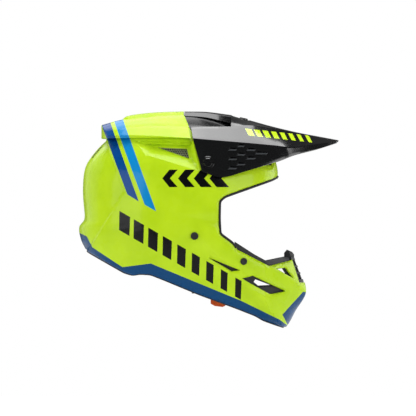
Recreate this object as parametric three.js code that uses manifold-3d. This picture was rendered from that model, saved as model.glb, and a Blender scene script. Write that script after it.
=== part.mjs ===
// Motocross helmet, adult medium, with a screwed-on peak. Millimetres, +X forward, +Y to the wearer's
// left, +Z up, standing as it is worn. The origin is the middle of the head that holds it up.
// Every piece inside and on the shell follows one closed form, which is measured round the ear point:
// a side profile gives how far the form reaches at each angle, and a superellipse rounds it over in Y.
import * as THREE from "three";
import { mergeVertices } from "three/addons/utils/BufferGeometryUtils.js";
import Module from "manifold-3d";

const wasm = await Module();
wasm.setup();

// ---- Driving dimensions -------------------------------------------------------------------------
const EAR = { x: -6, z: -52 };
const HALF_WIDTH = 123;
const WALL = 3.4;
const GAP = 0.35;
const FAR = 400;

// Side profile of the shell's form: degrees up from straight ahead, and millimetres from the ear point.
const SHELL_PROFILE = [
  [-165, 150], [-159, 148], [-145, 148], [-130, 160], [-110, 180], [-90, 198], [-70, 218],
  [-55, 236], [-45.5, 236.5], [-38.6, 230.6], [-31.7, 228.8], [-28.6, 221.8], [-24.5, 205],
  [-19.5, 189], [-14, 178], [-6, 170], [4, 165], [14, 163], [20, 163], [23, 166.2], [28.5, 169.6],
  [36, 167], [45, 163], [60, 158], [75, 153], [90, 150], [110, 151.5], [130, 154.5], [145, 156.3],
  [152.3, 156], [164, 148], [176, 141], [183, 140.6], [187.2, 149],
];
// The hollow for the head and its comfort liner, measured round a point behind the eyes.
const HEAD = { x: 0, z: -30 };
const HOLLOW_HALF_WIDTH = 84;
const HOLLOW_PROFILE = [
  [0, 108], [45, 103], [90, 96], [135, 104], [180, 110], [210, 118], [230, 133], [250, 170],
  [270, 230], [290, 220], [310, 180], [330, 140], [345, 118],
];

// ---- Solids and meshes --------------------------------------------------------------------------

// A manifold solid of a closed geometry, whichever way its faces were wound.
function solidOf(geometry) {
  geometry.deleteAttribute("normal");
  geometry.deleteAttribute("uv");
  const merged = mergeVertices(geometry, 1e-4);
  const index = [...merged.index.array];
  const faces = [];
  for (let i = 0; i < index.length; i += 3) {
    const [a, b, c] = index.slice(i, i + 3);
    if (a !== b && b !== c && c !== a) faces.push([a, b, c]);
  }
  const vertProperties = merged.attributes.position.array;
  const make = (list) =>
    new wasm.Manifold(new wasm.Mesh({ numProp: 3, vertProperties, triVerts: new Uint32Array(list.flat()) }));
  const solid = make(faces);
  return solid.volume() > 0 ? solid : make(faces.map(([a, b, c]) => [a, c, b]));
}

// A named mesh of a manifold solid.
function meshOf(name, solid, material) {
  const { vertProperties, triVerts } = solid.getMesh();
  const geometry = new THREE.BufferGeometry();
  geometry.setAttribute("position", new THREE.BufferAttribute(vertProperties, 3));
  geometry.setIndex(new THREE.BufferAttribute(triVerts, 1));
  geometry.computeVertexNormals();
  const mesh = new THREE.Mesh(geometry, material);
  mesh.name = name;
  return mesh;
}

// The faces of a grid of points: rows of equal length, optionally closed along each row.
function gridFaces(rows, columns, closed, first = 0) {
  const faces = [];
  const across = closed ? columns : columns - 1;
  for (let i = 0; i < rows - 1; i++) {
    for (let j = 0; j < across; j++) {
      const k = (j + 1) % columns;
      const [a, b] = [first + i * columns + j, first + i * columns + k];
      const [c, d] = [a + columns, b + columns];
      faces.push(a, b, d, a, d, c);
    }
  }
  return faces;
}

function geometryOf(points, faces) {
  const geometry = new THREE.BufferGeometry();
  geometry.setAttribute("position", new THREE.Float32BufferAttribute(points.flat(), 3));
  geometry.setIndex(faces);
  return geometry;
}

// A sheet with thickness: an outer and an inner grid of points, joined round their edges.
function slab(outer, inner) {
  const [rows, columns] = [outer.length, outer[0].length];
  const inside = rows * columns;
  const faces = gridFaces(rows, columns, false);
  const back = gridFaces(rows, columns, false, inside);
  for (let i = 0; i < back.length; i += 3) faces.push(back[i], back[i + 2], back[i + 1]);
  const edge = [];
  for (let j = 0; j < columns; j++) edge.push(j);
  for (let i = 1; i < rows; i++) edge.push(i * columns + columns - 1);
  for (let j = columns - 2; j >= 0; j--) edge.push((rows - 1) * columns + j);
  for (let i = rows - 2; i > 0; i--) edge.push(i * columns);
  edge.forEach((a, i) => {
    const b = edge[(i + 1) % edge.length];
    faces.push(b, a, a + inside, b, a + inside, b + inside);
  });
  return solidOf(geometryOf([...outer.flat(), ...inner.flat()], faces));
}

// An outline in the side view, [x, z], carried along Y.
function prism(outline, yFrom = -FAR, yTo = FAR) {
  const shape = new THREE.Shape(outline.map(([x, z]) => new THREE.Vector2(x, z)));
  const geometry = new THREE.ExtrudeGeometry(shape, { depth: yTo - yFrom, bevelEnabled: false });
  geometry.rotateX(Math.PI / 2);
  geometry.translate(0, yTo, 0);
  return solidOf(geometry);
}

function box(low, high) {
  const size = high.map((h, i) => h - low[i]);
  const geometry = new THREE.BoxGeometry(...size);
  geometry.translate(...low.map((l, i) => l + size[i] / 2));
  return solidOf(geometry);
}

// An outline moved inwards by a distance, or outwards if it is negative, with mitred corners.
function inset(outline, distance) {
  const area = outline.reduce((sum, [x, z], i) => {
    const [u, w] = outline[(i + 1) % outline.length];
    return sum + x * w - u * z;
  }, 0);
  const turn = Math.sign(area) * distance;
  return outline.map((point, i) => {
    const before = outline[(i + outline.length - 1) % outline.length];
    const after = outline[(i + 1) % outline.length];
    const a = new THREE.Vector2(point[0] - before[0], point[1] - before[1]).normalize();
    const b = new THREE.Vector2(after[0] - point[0], after[1] - point[1]).normalize();
    const share = turn / (1 + a.dot(b));
    return [point[0] - (a.y + b.y) * share, point[1] + (a.x + b.x) * share];
  });
}

const shifted = (outline, dx, dz) => outline.map(([x, z]) => [x + dx, z + dz]);
const mirrored = (solid) => solid.mirror([0, 1, 0]);

// ---- The closed form of the shell, and the hollow -----------------------------------------------

// Radius of a profile at an angle, on a cubic through its points that closes on itself.
function radiusAt(profile, degrees) {
  const count = profile.length;
  const start = profile[0][0];
  const angle = start + ((((degrees - start) % 360) + 360) % 360);
  const point = (i) => {
    const turns = Math.floor(i / count);
    const [a, r] = profile[i - turns * count];
    return [a + turns * 360, r];
  };
  let i = 0;
  while (point(i + 1)[0] <= angle) i++;
  const [[a0, r0], [a1, r1], [a2, r2], [a3, r3]] = [i - 1, i, i + 1, i + 2].map(point);
  const t = (angle - a1) / (a2 - a1);
  const slope1 = ((r2 - r0) / (a2 - a0)) * (a2 - a1);
  const slope2 = ((r3 - r1) / (a3 - a1)) * (a2 - a1);
  const rise = t * t * (3 - 2 * t);
  return r1 + (r2 - r1) * rise + slope1 * t * (1 - t) ** 2 - slope2 * t * t * (1 - t);
}

// Reach of a profile at a share of the way out: its corners are only felt near the silhouette.
function reachOf(profile, degrees, share, offset) {
  const near = [-16, -8, 0, 8, 16].map((step) => radiusAt(profile, degrees + step));
  const soft = near.reduce((sum, r) => sum + r, 0) / near.length;
  return share * (soft + offset + (radiusAt(profile, degrees) - soft) * share ** 6);
}

const smooth = (from, to, value) => THREE.MathUtils.smoothstep(value, from, to);

// How much of the narrower chin section applies at an angle: none at the crown, all at the chin.
function chinShare(degrees) {
  const angle = ((((degrees + 180) % 360) + 360) % 360) - 180;
  return smooth(-112, -62, angle) * (1 - smooth(-14, 8, angle));
}

// How blunt the form ends at an angle: the chin bar has a flat front instead of a rounded one.
const bluntness = (degrees) => {
  const angle = ((((degrees + 180) % 360) + 360) % 360) - 180;
  return smooth(-51, -43, angle) * (1 - smooth(-20, -12, angle));
};

// Flats on the chin bar, each y = at + alongX x + alongZ z: its side and its upper front.
const CHIN_TOP = -50;
const CHIN_FLATS = [
  { at: 265.8, alongX: -1.2508, alongZ: 0.121 },
  { at: 231, alongX: -1.5858, alongZ: -0.4968 },
];

// Half width of the form, grown by offset, in the direction of an angle and at a share of its radius.
function halfWidth(degrees, share, offset) {
  const chin = chinShare(degrees);
  const blunt = bluntness(degrees);
  const across = THREE.MathUtils.lerp(2.4, 1.9, chin);
  const over = THREE.MathUtils.lerp(1 / 2.2, 1 / 1.72, chin);
  const drop = Math.max(0, 1 - (share * (1 - 0.13 * blunt)) ** across) ** over;
  const end = blunt > 0 ? Math.max(0, 1 - share ** 40) ** (0.5 * blunt) : 1;
  const round = (HALF_WIDTH + offset) * drop * end;
  const radius = reachOf(SHELL_PROFILE, degrees, share, offset);
  const x = EAR.x + radius * Math.cos(THREE.MathUtils.degToRad(degrees));
  const z = EAR.z + radius * Math.sin(THREE.MathUtils.degToRad(degrees));
  if (z > CHIN_TOP) return round;
  const flats = CHIN_FLATS.map((f) => (f.at + f.alongX * x + f.alongZ * z + offset * 1.6) * end);
  return Math.max(0, Math.min(round, ...flats));
}

// Half width of the shell's outside at a place in the side view.
function shellSide(x, z, offset = 0) {
  const degrees = THREE.MathUtils.radToDeg(Math.atan2(z - EAR.z, x - EAR.x));
  const radius = Math.hypot(x - EAR.x, z - EAR.z);
  let [low, high] = [0, 1];
  for (let i = 0; i < 30; i++) {
    const middle = (low + high) / 2;
    if (reachOf(SHELL_PROFILE, degrees, middle, offset) < radius) low = middle;
    else high = middle;
  }
  return halfWidth(degrees, high, offset);
}

// Angles for the grid: the profile's own, with wide steps halved.
function anglesOf(profile, step) {
  return profile.flatMap(([angle], i) => {
    const next = i + 1 < profile.length ? profile[i + 1][0] : profile[0][0] + 360;
    const parts = Math.max(1, Math.round((next - angle) / step));
    return Array.from({ length: parts }, (_, k) => angle + ((next - angle) * k) / parts);
  });
}

// A closed ball-like form: rings of points from one side's pole to the other's.
function closedForm(centre, profile, step, rings, widthAt, offset) {
  const angles = anglesOf(profile, step);
  const points = [];
  for (let i = 0; i <= 2 * rings; i++) {
    const turn = ((i - rings) / rings) * (Math.PI / 2);
    const share = Math.max(Math.cos(turn), 0);
    for (const angle of angles) {
      const reach = i % (2 * rings) ? share : 0;
      const radius = reachOf(profile, angle, reach, offset);
      const radians = THREE.MathUtils.degToRad(angle);
      const side = i === rings ? 0 : -Math.sign(turn) * widthAt(angle, reach, offset);
      points.push([centre.x + radius * Math.cos(radians), side, centre.z + radius * Math.sin(radians)]);
    }
  }
  const rightFaces = gridFaces(rings + 1, angles.length, true);
  const row = (k) => Math.floor(k / angles.length);
  const leftFaces = rightFaces.map((k) => k + (2 * rings - 2 * row(k)) * angles.length).reverse();
  return solidOf(geometryOf(points, [...rightFaces, ...leftFaces]));
}

const formCache = new Map();
function shellForm(offset) {
  if (!formCache.has(offset)) {
    formCache.set(offset, closedForm(EAR, SHELL_PROFILE, 9, 7, halfWidth, offset));
  }
  return formCache.get(offset);
}
function hollowForm(offset) {
  const width = (angle, share, grown) =>
    (HOLLOW_HALF_WIDTH + grown) * Math.max(0, 1 - share ** 2.3) ** (1 / 2.3);
  return closedForm(HEAD, HOLLOW_PROFILE, 15, 5, width, offset);
}
const between = (outer, inner) => shellForm(outer).subtract(shellForm(inner));

// ---- Outlines in the side view, [x, z] ----------------------------------------------------------

// Lower edge of the shell, from behind the neck to under the chin, closed well below the helmet.
const LOWER_EDGE = [
  [-230, -56.4], [-81.8, -138.6], [-69.3, -142.1], [-59.6, -140.1], [-42.9, -140.9], [-20.7, -149.7],
  [29.3, -170.6], [84.8, -191.4], [112.4, -202.5], [123.5, -209.4], [154.1, -220.5], [300, -225],
];
const BELOW_SHELL = [...LOWER_EDGE, [300, -320], [-230, -320]];

const EYE_PORT = [
  [68.1, -25.1], [138.8, 0], [147, 4.5], [230, 4.5], [230, -100], [172.1, -113], [167.1, -120.3],
  [132.9, -128.4], [85.8, -104.1], [79.2, -94.4], [60.3, -80.6], [59.1, -57], [59.7, -32],
];
const EYE_PORT_FRONT = [
  [82, -60], [82, -99], [86, -104.5], [132.9, -129], [168, -121], [240, -121], [240, -60],
];

const SIDE_POCKET = [[-66, 58.5], [19.5, 57], [30, 12.5], [-51, 37.7]];
const SIDE_WINDOW = [[-33.9, 48.6], [10.7, 46.5], [14.4, 31.5]];
const CHIN_UPPER_OPENING = [[143.5, -132.6], [158.9, -131], [171.9, -148.4]];
const CHIN_SIDE_OPENING = [[92.3, -147.2], [108.5, -142.8], [158.1, -166.7], [134.6, -170.7]];
const CHIN_SLIT = [[41.9, -115.2], [89.9, -134.7], [76.8, -137.4]];
const SEE_THROUGH = [
  [[110, -152.8], [112.5, -148.8], [137.9, -158.5], [118.2, -159.3]],
  [[145.4, -133.4], [152.4, -131.6], [157.4, -140.2]],
];
const CHIN_INSERT = [
  [39, -111], [64, -119], [94, -131], [113, -137.6], [166, -163.5], [166, -168], [134, -175.5],
  [88, -149.5], [70, -142],
];
const BROW_VENT = [[127, 22.5], [138.5, 29], [136.5, 22]];

const CHEEK = [
  [-30, -64], [50, -64], [51, -86], [76, -103], [82, -128], [78, -174], [54, -164], [50, -142],
  [4, -139], [-20, -133], [-36, -126],
];
const CHEEK_PAD = [
  [-26, -70], [46, -70], [48, -90], [72, -107], [77, -128], [72, -164], [50, -152], [42, -136],
  [4, -134], [-16, -129], [-31, -122],
];
const NECK_PAD = [[-150, -62], [-84, -62], [-52, -122], [-62, -133], [-80, -133], [-150, -96]];
const CHIN_FOAM = [
  [86, -122], [131, -145], [140, -152], [170, -162], [188, -178], [155, -213], [92, -188.5], [86, -160],
];
const MOUTHPIECE = [
  [82.4, -93], [112.4, -112.4], [129, -121.4], [156.8, -115.2], [200, -115.2],
  [200, -124], [163, -131], [131, -140.5], [88, -118], [82.4, -114],
];
const NOSE_GUARD = [
  [156.8, -114.4], [156.8, -109.7], [161, -104.7], [168.5, -108], [171.5, -112], [171.5, -114.4],
];

// ---- Materials ----------------------------------------------------------------------------------
const finish = (color, roughness, metalness = 0) =>
  new THREE.MeshStandardMaterial({ color, roughness, metalness });
const YELLOW_PAINT = finish("#c3e02f", 0.18);
const BLACK_GLOSS = finish("#0b0c0d", 0.16);
const BLACK_MATT = finish("#1d1e1f", 0.55);
const BLACK_RUBBER = finish("#151617", 0.75);
const GREY_MESH = finish("#6f7368", 0.5);
const FOAM = finish("#26282b", 0.9);
const LINING = finish("#2c3036", 0.95);
const WEBBING = finish("#121314", 0.85);
const STEEL = finish("#b9bcc0", 0.28, 1);
const ORANGE_RIBBON = finish("#d9571c", 0.8);

const helmet = new THREE.Group();
const add = (name, solid, material) => helmet.add(meshOf(name, solid, material));
const addPair = (name, right, material) => {
  add(`${name}_right`, right, material);
  add(`${name}_left`, mirrored(right), material);
};

// ---- Fasteners ----------------------------------------------------------------------------------

// Place and outward normal of the shell's right side, at a place in the side view.
function seatAt(x, z, offset = 0) {
  const step = 0.5;
  const y = shellSide(x, z, offset);
  const byX = (shellSide(x + step, z, offset) - shellSide(x - step, z, offset)) / (2 * step);
  const byZ = (shellSide(x, z + step, offset) - shellSide(x, z - step, offset)) / (2 * step);
  return { at: new THREE.Vector3(x, -y, z), out: new THREE.Vector3(-byX, -1, -byZ).normalize() };
}

// A body of revolution, [radius, height] along its axis, set on a point with its axis along out.
function turned(profile, { at, out }, sides = 14) {
  const geometry = new THREE.LatheGeometry(profile.map(([r, h]) => new THREE.Vector2(r, h)), sides);
  geometry.applyQuaternion(new THREE.Quaternion().setFromUnitVectors(new THREE.Vector3(0, 1, 0), out));
  geometry.translate(at.x, at.y, at.z);
  return solidOf(geometry);
}
const rod = (radius, from, to, seat, sides = 14) =>
  turned([[0, from], [radius, from], [radius, to], [0, to]], seat, sides);

// A button head with a shank below it.
const button = (head, height, shank, length, seat) =>
  turned([[0, -length], [shank, -length], [shank, 0], [head, 0], [head, height * 0.5],
    [head * 0.82, height], [head * 0.45, height], [head * 0.4, height * 0.6], [0, height * 0.6]], seat);

const STRAP_RIVET = seatAt(22, -83.4);
const CHIN_SCREW = seatAt(95, -121.4);
const PEAK_PIVOT = { x: 42, y: 115, z: 25.5 };
const PEAK_SCREW = {
  at: new THREE.Vector3(PEAK_PIVOT.x, -PEAK_PIVOT.y, PEAK_PIVOT.z),
  out: new THREE.Vector3(0, -1, 0),
};
const CENTRE_SCREW_SLOPE = THREE.MathUtils.degToRad(14.65);
const CENTRE_SCREW = {
  at: new THREE.Vector3(96, 0, 92.6),
  out: new THREE.Vector3(Math.sin(CENTRE_SCREW_SLOPE), 0, Math.cos(CENTRE_SCREW_SLOPE)),
};
const SLOT_LENGTH = 12;

// ---- Peak: a folded sheet on five lines a side, with a cut-out for the crown scoop ---------------

// Each row is a station from the back of the peak to its tip; its points run from the middle
// outwards: middle, foot of the rib, shoulder, fold, lower edge.
const PEAK_THICKNESS = 2.6;
const PEAK_STATIONS = [
  [[14, 0, 98.8], [14, 30, 97.6], [16.5, 76, 78.5], [19.5, 99, 61.8], [33.3, 118.5, 12.5]],
  [[44, 0, 98.8], [44, 30, 97.2], [44, 75, 79], [44, 98, 59.7], [63, 116.5, 4]],
  [[74, 0, 98.2], [74, 24, 95], [74, 70, 79.6], [74, 95.5, 57.2], [95, 108, 12]],
  [[100, 0, 91.4], [101, 17, 88.4], [103, 63, 81.6], [106, 90.5, 54.6], [124, 99.5, 20.9]],
  [[136, 0, 81.4], [137, 11, 78.6], [139, 50, 77.6], [142, 84, 51.4], [154, 88, 31]],
  [[176, 0, 71.8], [176, 8, 71.2], [173, 36, 71.4], [169.3, 77, 49], [176, 77, 39.2]],
  [[212, 0, 65], [211.5, 6, 64.8], [209, 19, 64.4], [206, 46, 53.8], [209, 45.5, 47.2]],
  [[238.5, 0, 60], [238.4, 3, 59.9], [237.6, 7, 59.4], [236.4, 10, 58.4], [236, 10, 55.6]],
];

// Points moved along the normal of their grid, inwards by a distance.
function movedIn(grid, distance) {
  const at = (i, j) => new THREE.Vector3(...grid[i][j]);
  const [lastRow, lastColumn] = [grid.length - 1, grid[0].length - 1];
  return grid.map((row, i) => row.map((_, j) => {
    const along = at(Math.min(i + 1, lastRow), j).sub(at(Math.max(i - 1, 0), j));
    const across = at(i, Math.min(j + 1, lastColumn)).sub(at(i, Math.max(j - 1, 0)));
    return at(i, j).addScaledVector(along.cross(across).normalize(), distance).toArray();
  }));
}

// A station's points on both sides, from the right lower edge over the middle to the left one.
const bothSides = (row) => [
  ...row.slice(1).reverse().map(([x, y, z]) => [x, -y, z]), ...row.map((point) => [...point]),
];

// The slot that lets the peak slide under its middle screw: a rod stretched backwards.
function slotCut() {
  const geometry = new THREE.CylinderGeometry(3.4, 3.4, 60, 16);
  geometry.rotateX(Math.PI / 2);
  const place = geometry.attributes.position;
  for (let i = 0; i < place.count; i++) {
    place.setX(i, place.getX(i) + (place.getX(i) > 1e-3 ? 1 : 1 - SLOT_LENGTH));
  }
  geometry.rotateY(CENTRE_SCREW_SLOPE);
  geometry.translate(...CENTRE_SCREW.at.toArray());
  return solidOf(geometry);
}

function makePeak() {
  const outside = PEAK_STATIONS.map(bothSides);
  const sheet = slab(outside, movedIn(outside, -PEAK_THICKNESS));
  const scoopRoom = [[-20, 40], [-20, 140], [76.6, 140], [76.6, 78.6], [16, 75.5], [16, 40]];
  let peak = sheet.subtract(prism(scoopRoom, -62, 62));
  peak = peak.subtract(prism([[-20, 79.6], [-20, 140], [73.6, 140], [73.6, 79.6]], -80, 80));
  peak = peak.subtract(slotCut());
  const boss = rod(9.5, -9, 0, PEAK_SCREW).subtract(shellForm(0.6));
  const pivotHole = rod(3.3, -30, 30, PEAK_SCREW);
  peak = peak.add(boss).add(mirrored(boss));
  return peak.subtract(pivotHole).subtract(mirrored(pivotHole));
}
const peak = makePeak();
add("peak", peak, BLACK_GLOSS);

// ---- Shell --------------------------------------------------------------------------------------

// The raised crown plate that ends in the rear spoiler, as a block whose foot is inside the form.
const PLATE_STATIONS = [
  [[-118.4, 0, 82.7], [-117, 26, 81], [-113, 48, 74.5], [-108.2, 62, 65.4]],
  [[-84, 0, 91.6], [-84, 30, 90.2], [-84, 62, 78.6], [-84, 76, 66.3]],
  [[-40, 0, 97], [-40, 33, 95.6], [-39, 74, 80.5], [-38, 92, 64.8]],
  [[5.6, 0, 98.8], [6, 33, 97.6], [13.2, 77, 78.3], [16.8, 98, 61.4]],
];
const CREST_STATIONS = [
  [[-88, 0, 90.2], [-88, 22, 89], [-88, 26, 86]],
  [[-77, 0, 97], [-77, 24, 95.4], [-77, 30, 88]],
  [[-40, 0, 101.7], [-40, 25, 100], [-40, 32, 92]],
  [[5.6, 0, 103.4], [5.6, 25, 101.6], [5.6, 33, 94]],
];
const block = (stations, floorAt) => {
  const top = stations.map(bothSides);
  return slab(top, top.map((row) => row.map(([x, y]) => [x, y * 0.96, floorAt(x)])));
};

const plate = block(PLATE_STATIONS, () => 62).add(block(CREST_STATIONS, () => 84));

const pocketSeat = shellForm(-1).subtract(shellForm(-9.6)).intersect(prism(inset(SIDE_POCKET, -3)));
const pocketCut = prism(SIDE_POCKET).subtract(shellForm(-5.6));
const mouthNotch = box([140, -21, -154], [240, 21, -90]);
const rearExhaust = (grow) => box([-220, -30 - grow, 34 - grow], [-90, -8 + grow, 53 + grow]);

function makeShell() {
  let shell = shellForm(0).add(plate).subtract(shellForm(-WALL)).add(pocketSeat);
  const aboveNothing = prism([[-200, 59], [17.5, 57.5], [31, 10], [-55, 36], [-200, 36]]);
  shell = shell.subtract(pocketCut.intersect(aboveNothing));
  const openings = [BELOW_SHELL, EYE_PORT, SIDE_WINDOW, CHIN_UPPER_OPENING, CHIN_SIDE_OPENING, CHIN_SLIT];
  for (const outline of openings) {
    shell = shell.subtract(prism(outline));
  }
  shell = shell.subtract(mouthNotch).subtract(prism(BROW_VENT));
  shell = shell.subtract(rearExhaust(0)).subtract(mirrored(rearExhaust(0)));
  for (const side of [STRAP_RIVET, CHIN_SCREW, PEAK_SCREW]) {
    const hole = rod(3.3, -20, 20, side);
    shell = shell.subtract(hole).subtract(mirrored(hole));
  }
  return shell.subtract(rod(3.4, -40, 20, CENTRE_SCREW));
}
const shell = makeShell();
add("outer_shell", shell, YELLOW_PAINT);

// Rubber beads on the shell's lower edge and round the eye port.
const lowerBead = between(0.8, -7)
  .intersect(prism(shifted(BELOW_SHELL, 0, -GAP)))
  .subtract(prism(shifted(BELOW_SHELL, 0, -2.6)));
add("lower_edge_bead", lowerBead, BLACK_RUBBER);
const eyePortBead = between(0.9, -8)
  .intersect(prism(inset(EYE_PORT, GAP)))
  .subtract(prism(inset(EYE_PORT, 3)))
  .subtract(prism(EYE_PORT_FRONT));
add("eye_port_bead", eyePortBead, BLACK_RUBBER);

// Air scoop on the front of the crown, an upturned channel with its mouth to the front.
const SCOOP_STATIONS = [
  [[6.6, 0, 103.2], [6.6, 24, 101.6], [6.6, 29, 96.2]],
  [[40, 0, 102.6], [40, 25, 100.4], [40, 31, 93.6]],
  [[71, 0, 98.6], [71, 26, 95.6], [71, 32, 86.4]],
];
const scoopTop = SCOOP_STATIONS.map(bothSides);
add("crown_scoop", slab(scoopTop, movedIn(scoopTop, -2.8)).subtract(shellForm(GAP)), BLACK_GLOSS);

// Vent meshes behind the side windows, and the black inserts behind the chin bar's openings.
addPair("side_vent_mesh", prism(inset(SIDE_WINDOW, 0.4), -FAR, 0).intersect(between(-6.4, -8.2)), GREY_MESH);
addPair("brow_vent_insert", prism(inset(BROW_VENT, 0.3), -FAR, 0).intersect(between(-1.2, -3)), BLACK_MATT);
addPair("rear_exhaust", rearExhaust(-0.4).intersect(between(-1.2, -3)), BLACK_MATT);
const seeThrough = SEE_THROUGH.map((outline) => prism(inset(outline, -0.5))).reduce((a, b) => a.add(b));
const chinInsert = prism(CHIN_INSERT, -FAR, 0)
  .intersect(between(-WALL - GAP, -6.4))
  .subtract(seeThrough)
  .subtract(rod(3.6, -30, 30, CHIN_SCREW));
addPair("chin_vent_insert", chinInsert, BLACK_MATT);

// Mouthpiece along the top of the chin bar, its grille in the notch, and the nose guard above it.
const screwBore = rod(3.4, -24, 20, CHIN_SCREW);
const mouthpiece = between(-WALL - GAP, -20)
  .intersect(prism(MOUTHPIECE))
  .subtract(box([120, -20.9, -200], [300, 20.9, 0]))
  .subtract(seeThrough)
  .subtract(screwBore)
  .subtract(mirrored(screwBore));
add("mouthpiece_right", mouthpiece.intersect(box([0, -FAR, -300], [300, 0, 0])), BLACK_MATT);
add("mouthpiece_left", mouthpiece.intersect(box([0, 0, -300], [300, FAR, 0])), BLACK_MATT);

function makeGrille() {
  const ring = box([140, -20.6, -153.6], [240, 20.6, -115])
    .subtract(box([140, -16.5, -149], [240, 16.5, -120]));
  const bars = [-129.5, -139.5].map((z) => box([140, -18, z - 1.2], [240, 18, z + 1.2]));
  const posts = [-8, 8].map((y) => box([140, y - 1.2, -151], [240, y + 1.2, -118]));
  return [...bars, ...posts].reduce((all, bar) => all.add(bar), ring).intersect(between(1.6, -7));
}
add("mouth_grille", makeGrille(), BLACK_MATT);
const guardForm = between(1.4, -16).intersect(box([140, -26, -114.4], [240, 26, -100]));
add("nose_guard", guardForm.intersect(prism(NOSE_GUARD)), BLACK_RUBBER);

// ---- Fasteners in place -------------------------------------------------------------------------
const raised = (seat, by) => ({ at: seat.at.clone().addScaledVector(seat.out, by), out: seat.out });
addPair("strap_rivet", button(5.7, 2, 2.9, 7.4, raised(STRAP_RIVET, 0.5)), BLACK_MATT);
addPair("chin_bar_screw", button(5.2, 1.8, 2.9, 10, raised(CHIN_SCREW, 0.5)), BLACK_MATT);
const peakScrew = button(7, 3, 2.9, 17, raised(PEAK_SCREW, 0.3));
addPair("peak_side_screw", peakScrew, BLACK_MATT);
const nut = (from, seat) =>
  rod(6, from, from + 3.5, seat, 12).subtract(rod(3.3, from - 1, from + 5, seat, 12));
addPair("peak_side_nut", nut(-19, PEAK_SCREW), STEEL);
add("peak_centre_nut", nut(-27.8, CENTRE_SCREW), STEEL);
add("peak_centre_screw", button(6.5, 3, 2.9, 28, raised(CENTRE_SCREW, 0.7)), BLACK_MATT);

// ---- Impact foam --------------------------------------------------------------------------------
const foamSkin = -WALL - GAP;
const notFoam = [shifted(BELOW_SHELL, 0, 5), inset(EYE_PORT, -3), inset(SIDE_POCKET, -4)]
  .map((outline) => prism(outline));
const hollow = hollowForm(0);
const chinZone = prism([[52, -62], [52, -260], [260, -260], [260, -62]]);
const jawZone = prism([[-30.2, -63.7], [-36.4, -126], [-36.4, -260], [53, -260], [53, -63.7]]);

function makeCrownFoam() {
  let foam = shellForm(foamSkin).subtract(hollow);
  for (const cut of [...notFoam, jawZone, chinZone]) foam = foam.subtract(cut);
  for (const side of [PEAK_SCREW, STRAP_RIVET]) {
    const bore = rod(9, -24, 0, side);
    foam = foam.subtract(bore).subtract(mirrored(bore));
  }
  return foam.subtract(rod(9, -40, 0, CENTRE_SCREW));
}
const largestPiece = (solid) =>
  solid.decompose().reduce((best, piece) => (piece.volume() > best.volume() ? piece : best));
add("crown_foam", largestPiece(makeCrownFoam()), FOAM);

const chinFoam = between(-7.2, -26)
  .intersect(prism(CHIN_FOAM))
  .subtract(seeThrough)
  .subtract(box([140, -30, -156], [240, 30, -90]))
  .subtract(prism(inset(MOUTHPIECE, -GAP)));
add("chin_foam", largestPiece(chinFoam), FOAM);

const strapChannel = prism([[6, -60], [37, -60], [46, -180], [14, -180]]).subtract(shellForm(-16));
const cheekFoam = shellForm(-8)
  .intersect(prism(CHEEK, -FAR, -67))
  .subtract(strapChannel)
  .subtract(hollow)
  .subtract(prism(shifted(BELOW_SHELL, 0, 5)))
  .subtract(prism(inset(MOUTHPIECE, -GAP)))
  .subtract(prism(inset(CHIN_FOAM, -GAP)));

// Press studs, fixed in the cheek foam, that the cheek pads slip over.
const CHEEK_STUDS = { front: [54, -122], rear: [2, -95] };
const studRod = ([x, z], radius, from, to) =>
  rod(radius, from, to, { at: new THREE.Vector3(x, 0, z), out: new THREE.Vector3(0, -1, 0) }, 14);
let cheekShell = largestPiece(cheekFoam);
for (const place of Object.values(CHEEK_STUDS)) {
  cheekShell = cheekShell.subtract(studRod(place, 4.3, 0, 93));
}
addPair("cheek_foam", cheekShell, FOAM);

// ---- Comfort liner ------------------------------------------------------------------------------
const liner = hollowForm(-0.6).subtract(hollowForm(-9.5));
const crownPad = liner
  .intersect(prism([[-140, 8], [-140, 120], [70, 120], [70, 8]]));
add("crown_pad", largestPiece(crownPad), LINING);
const browPad = liner.intersect(prism([[71, 6], [71, 60], [140, 60], [140, 8], [112, 0]]));
add("brow_pad", largestPiece(browPad), LINING);
const neckPad = hollowForm(-0.6).subtract(hollowForm(-13)).intersect(prism(NECK_PAD));
add("neck_pad", largestPiece(neckPad), LINING);
let cheekPad = hollowForm(-0.8).intersect(prism(CHEEK_PAD, -FAR, -56));
for (const place of Object.values(CHEEK_STUDS)) cheekPad = cheekPad.subtract(studRod(place, 4.4, 73, 140));
addPair("cheek_pad", cheekPad, LINING);
for (const [where, place] of Object.entries(CHEEK_STUDS)) {
  addPair(`cheek_stud_${where}`, studRod(place, 3.9, 73.6, 92), BLACK_MATT);
}

// Pull ribbons that hang from the front lower corner of the cheek pads.
const RIBBON = { side: 64, thick: 1.6 };
const RIBBON_OUTLINE = [[50, -154], [66, -161.8], [66, -187], [61, -190.5], [55, -190.5], [50, -187]];
const ribbon = prism(RIBBON_OUTLINE, -RIBBON.side - RIBBON.thick / 2, -RIBBON.side + RIBBON.thick / 2);
addPair("release_ribbon", ribbon, ORANGE_RIBBON);

// ---- Chin strap: webbing from a hanger at each rivet, and a buckled loop that swings below ---------

const STRAP = { width: 25, thick: 1.8 };

// A flat strap, its width along X, on a route of [x, y, z] points.
function webbing(route, width = STRAP.width, thick = STRAP.thick) {
  const path = new THREE.CatmullRomCurve3(route.map((point) => new THREE.Vector3(...point)));
  const count = 2 * route.length;
  const skin = (sign) => Array.from({ length: count + 1 }, (_, i) => {
    const at = path.getPoint(i / count);
    const along = path.getTangent(i / count).setX(0).normalize();
    const away = new THREE.Vector3(0, -along.z, along.y).multiplyScalar((sign * thick) / 2);
    return [-0.5, 0.5].map((share) => [at.x + share * width, at.y + away.y, at.z + away.z]);
  });
  return slab(skin(1), skin(-1));
}

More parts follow.
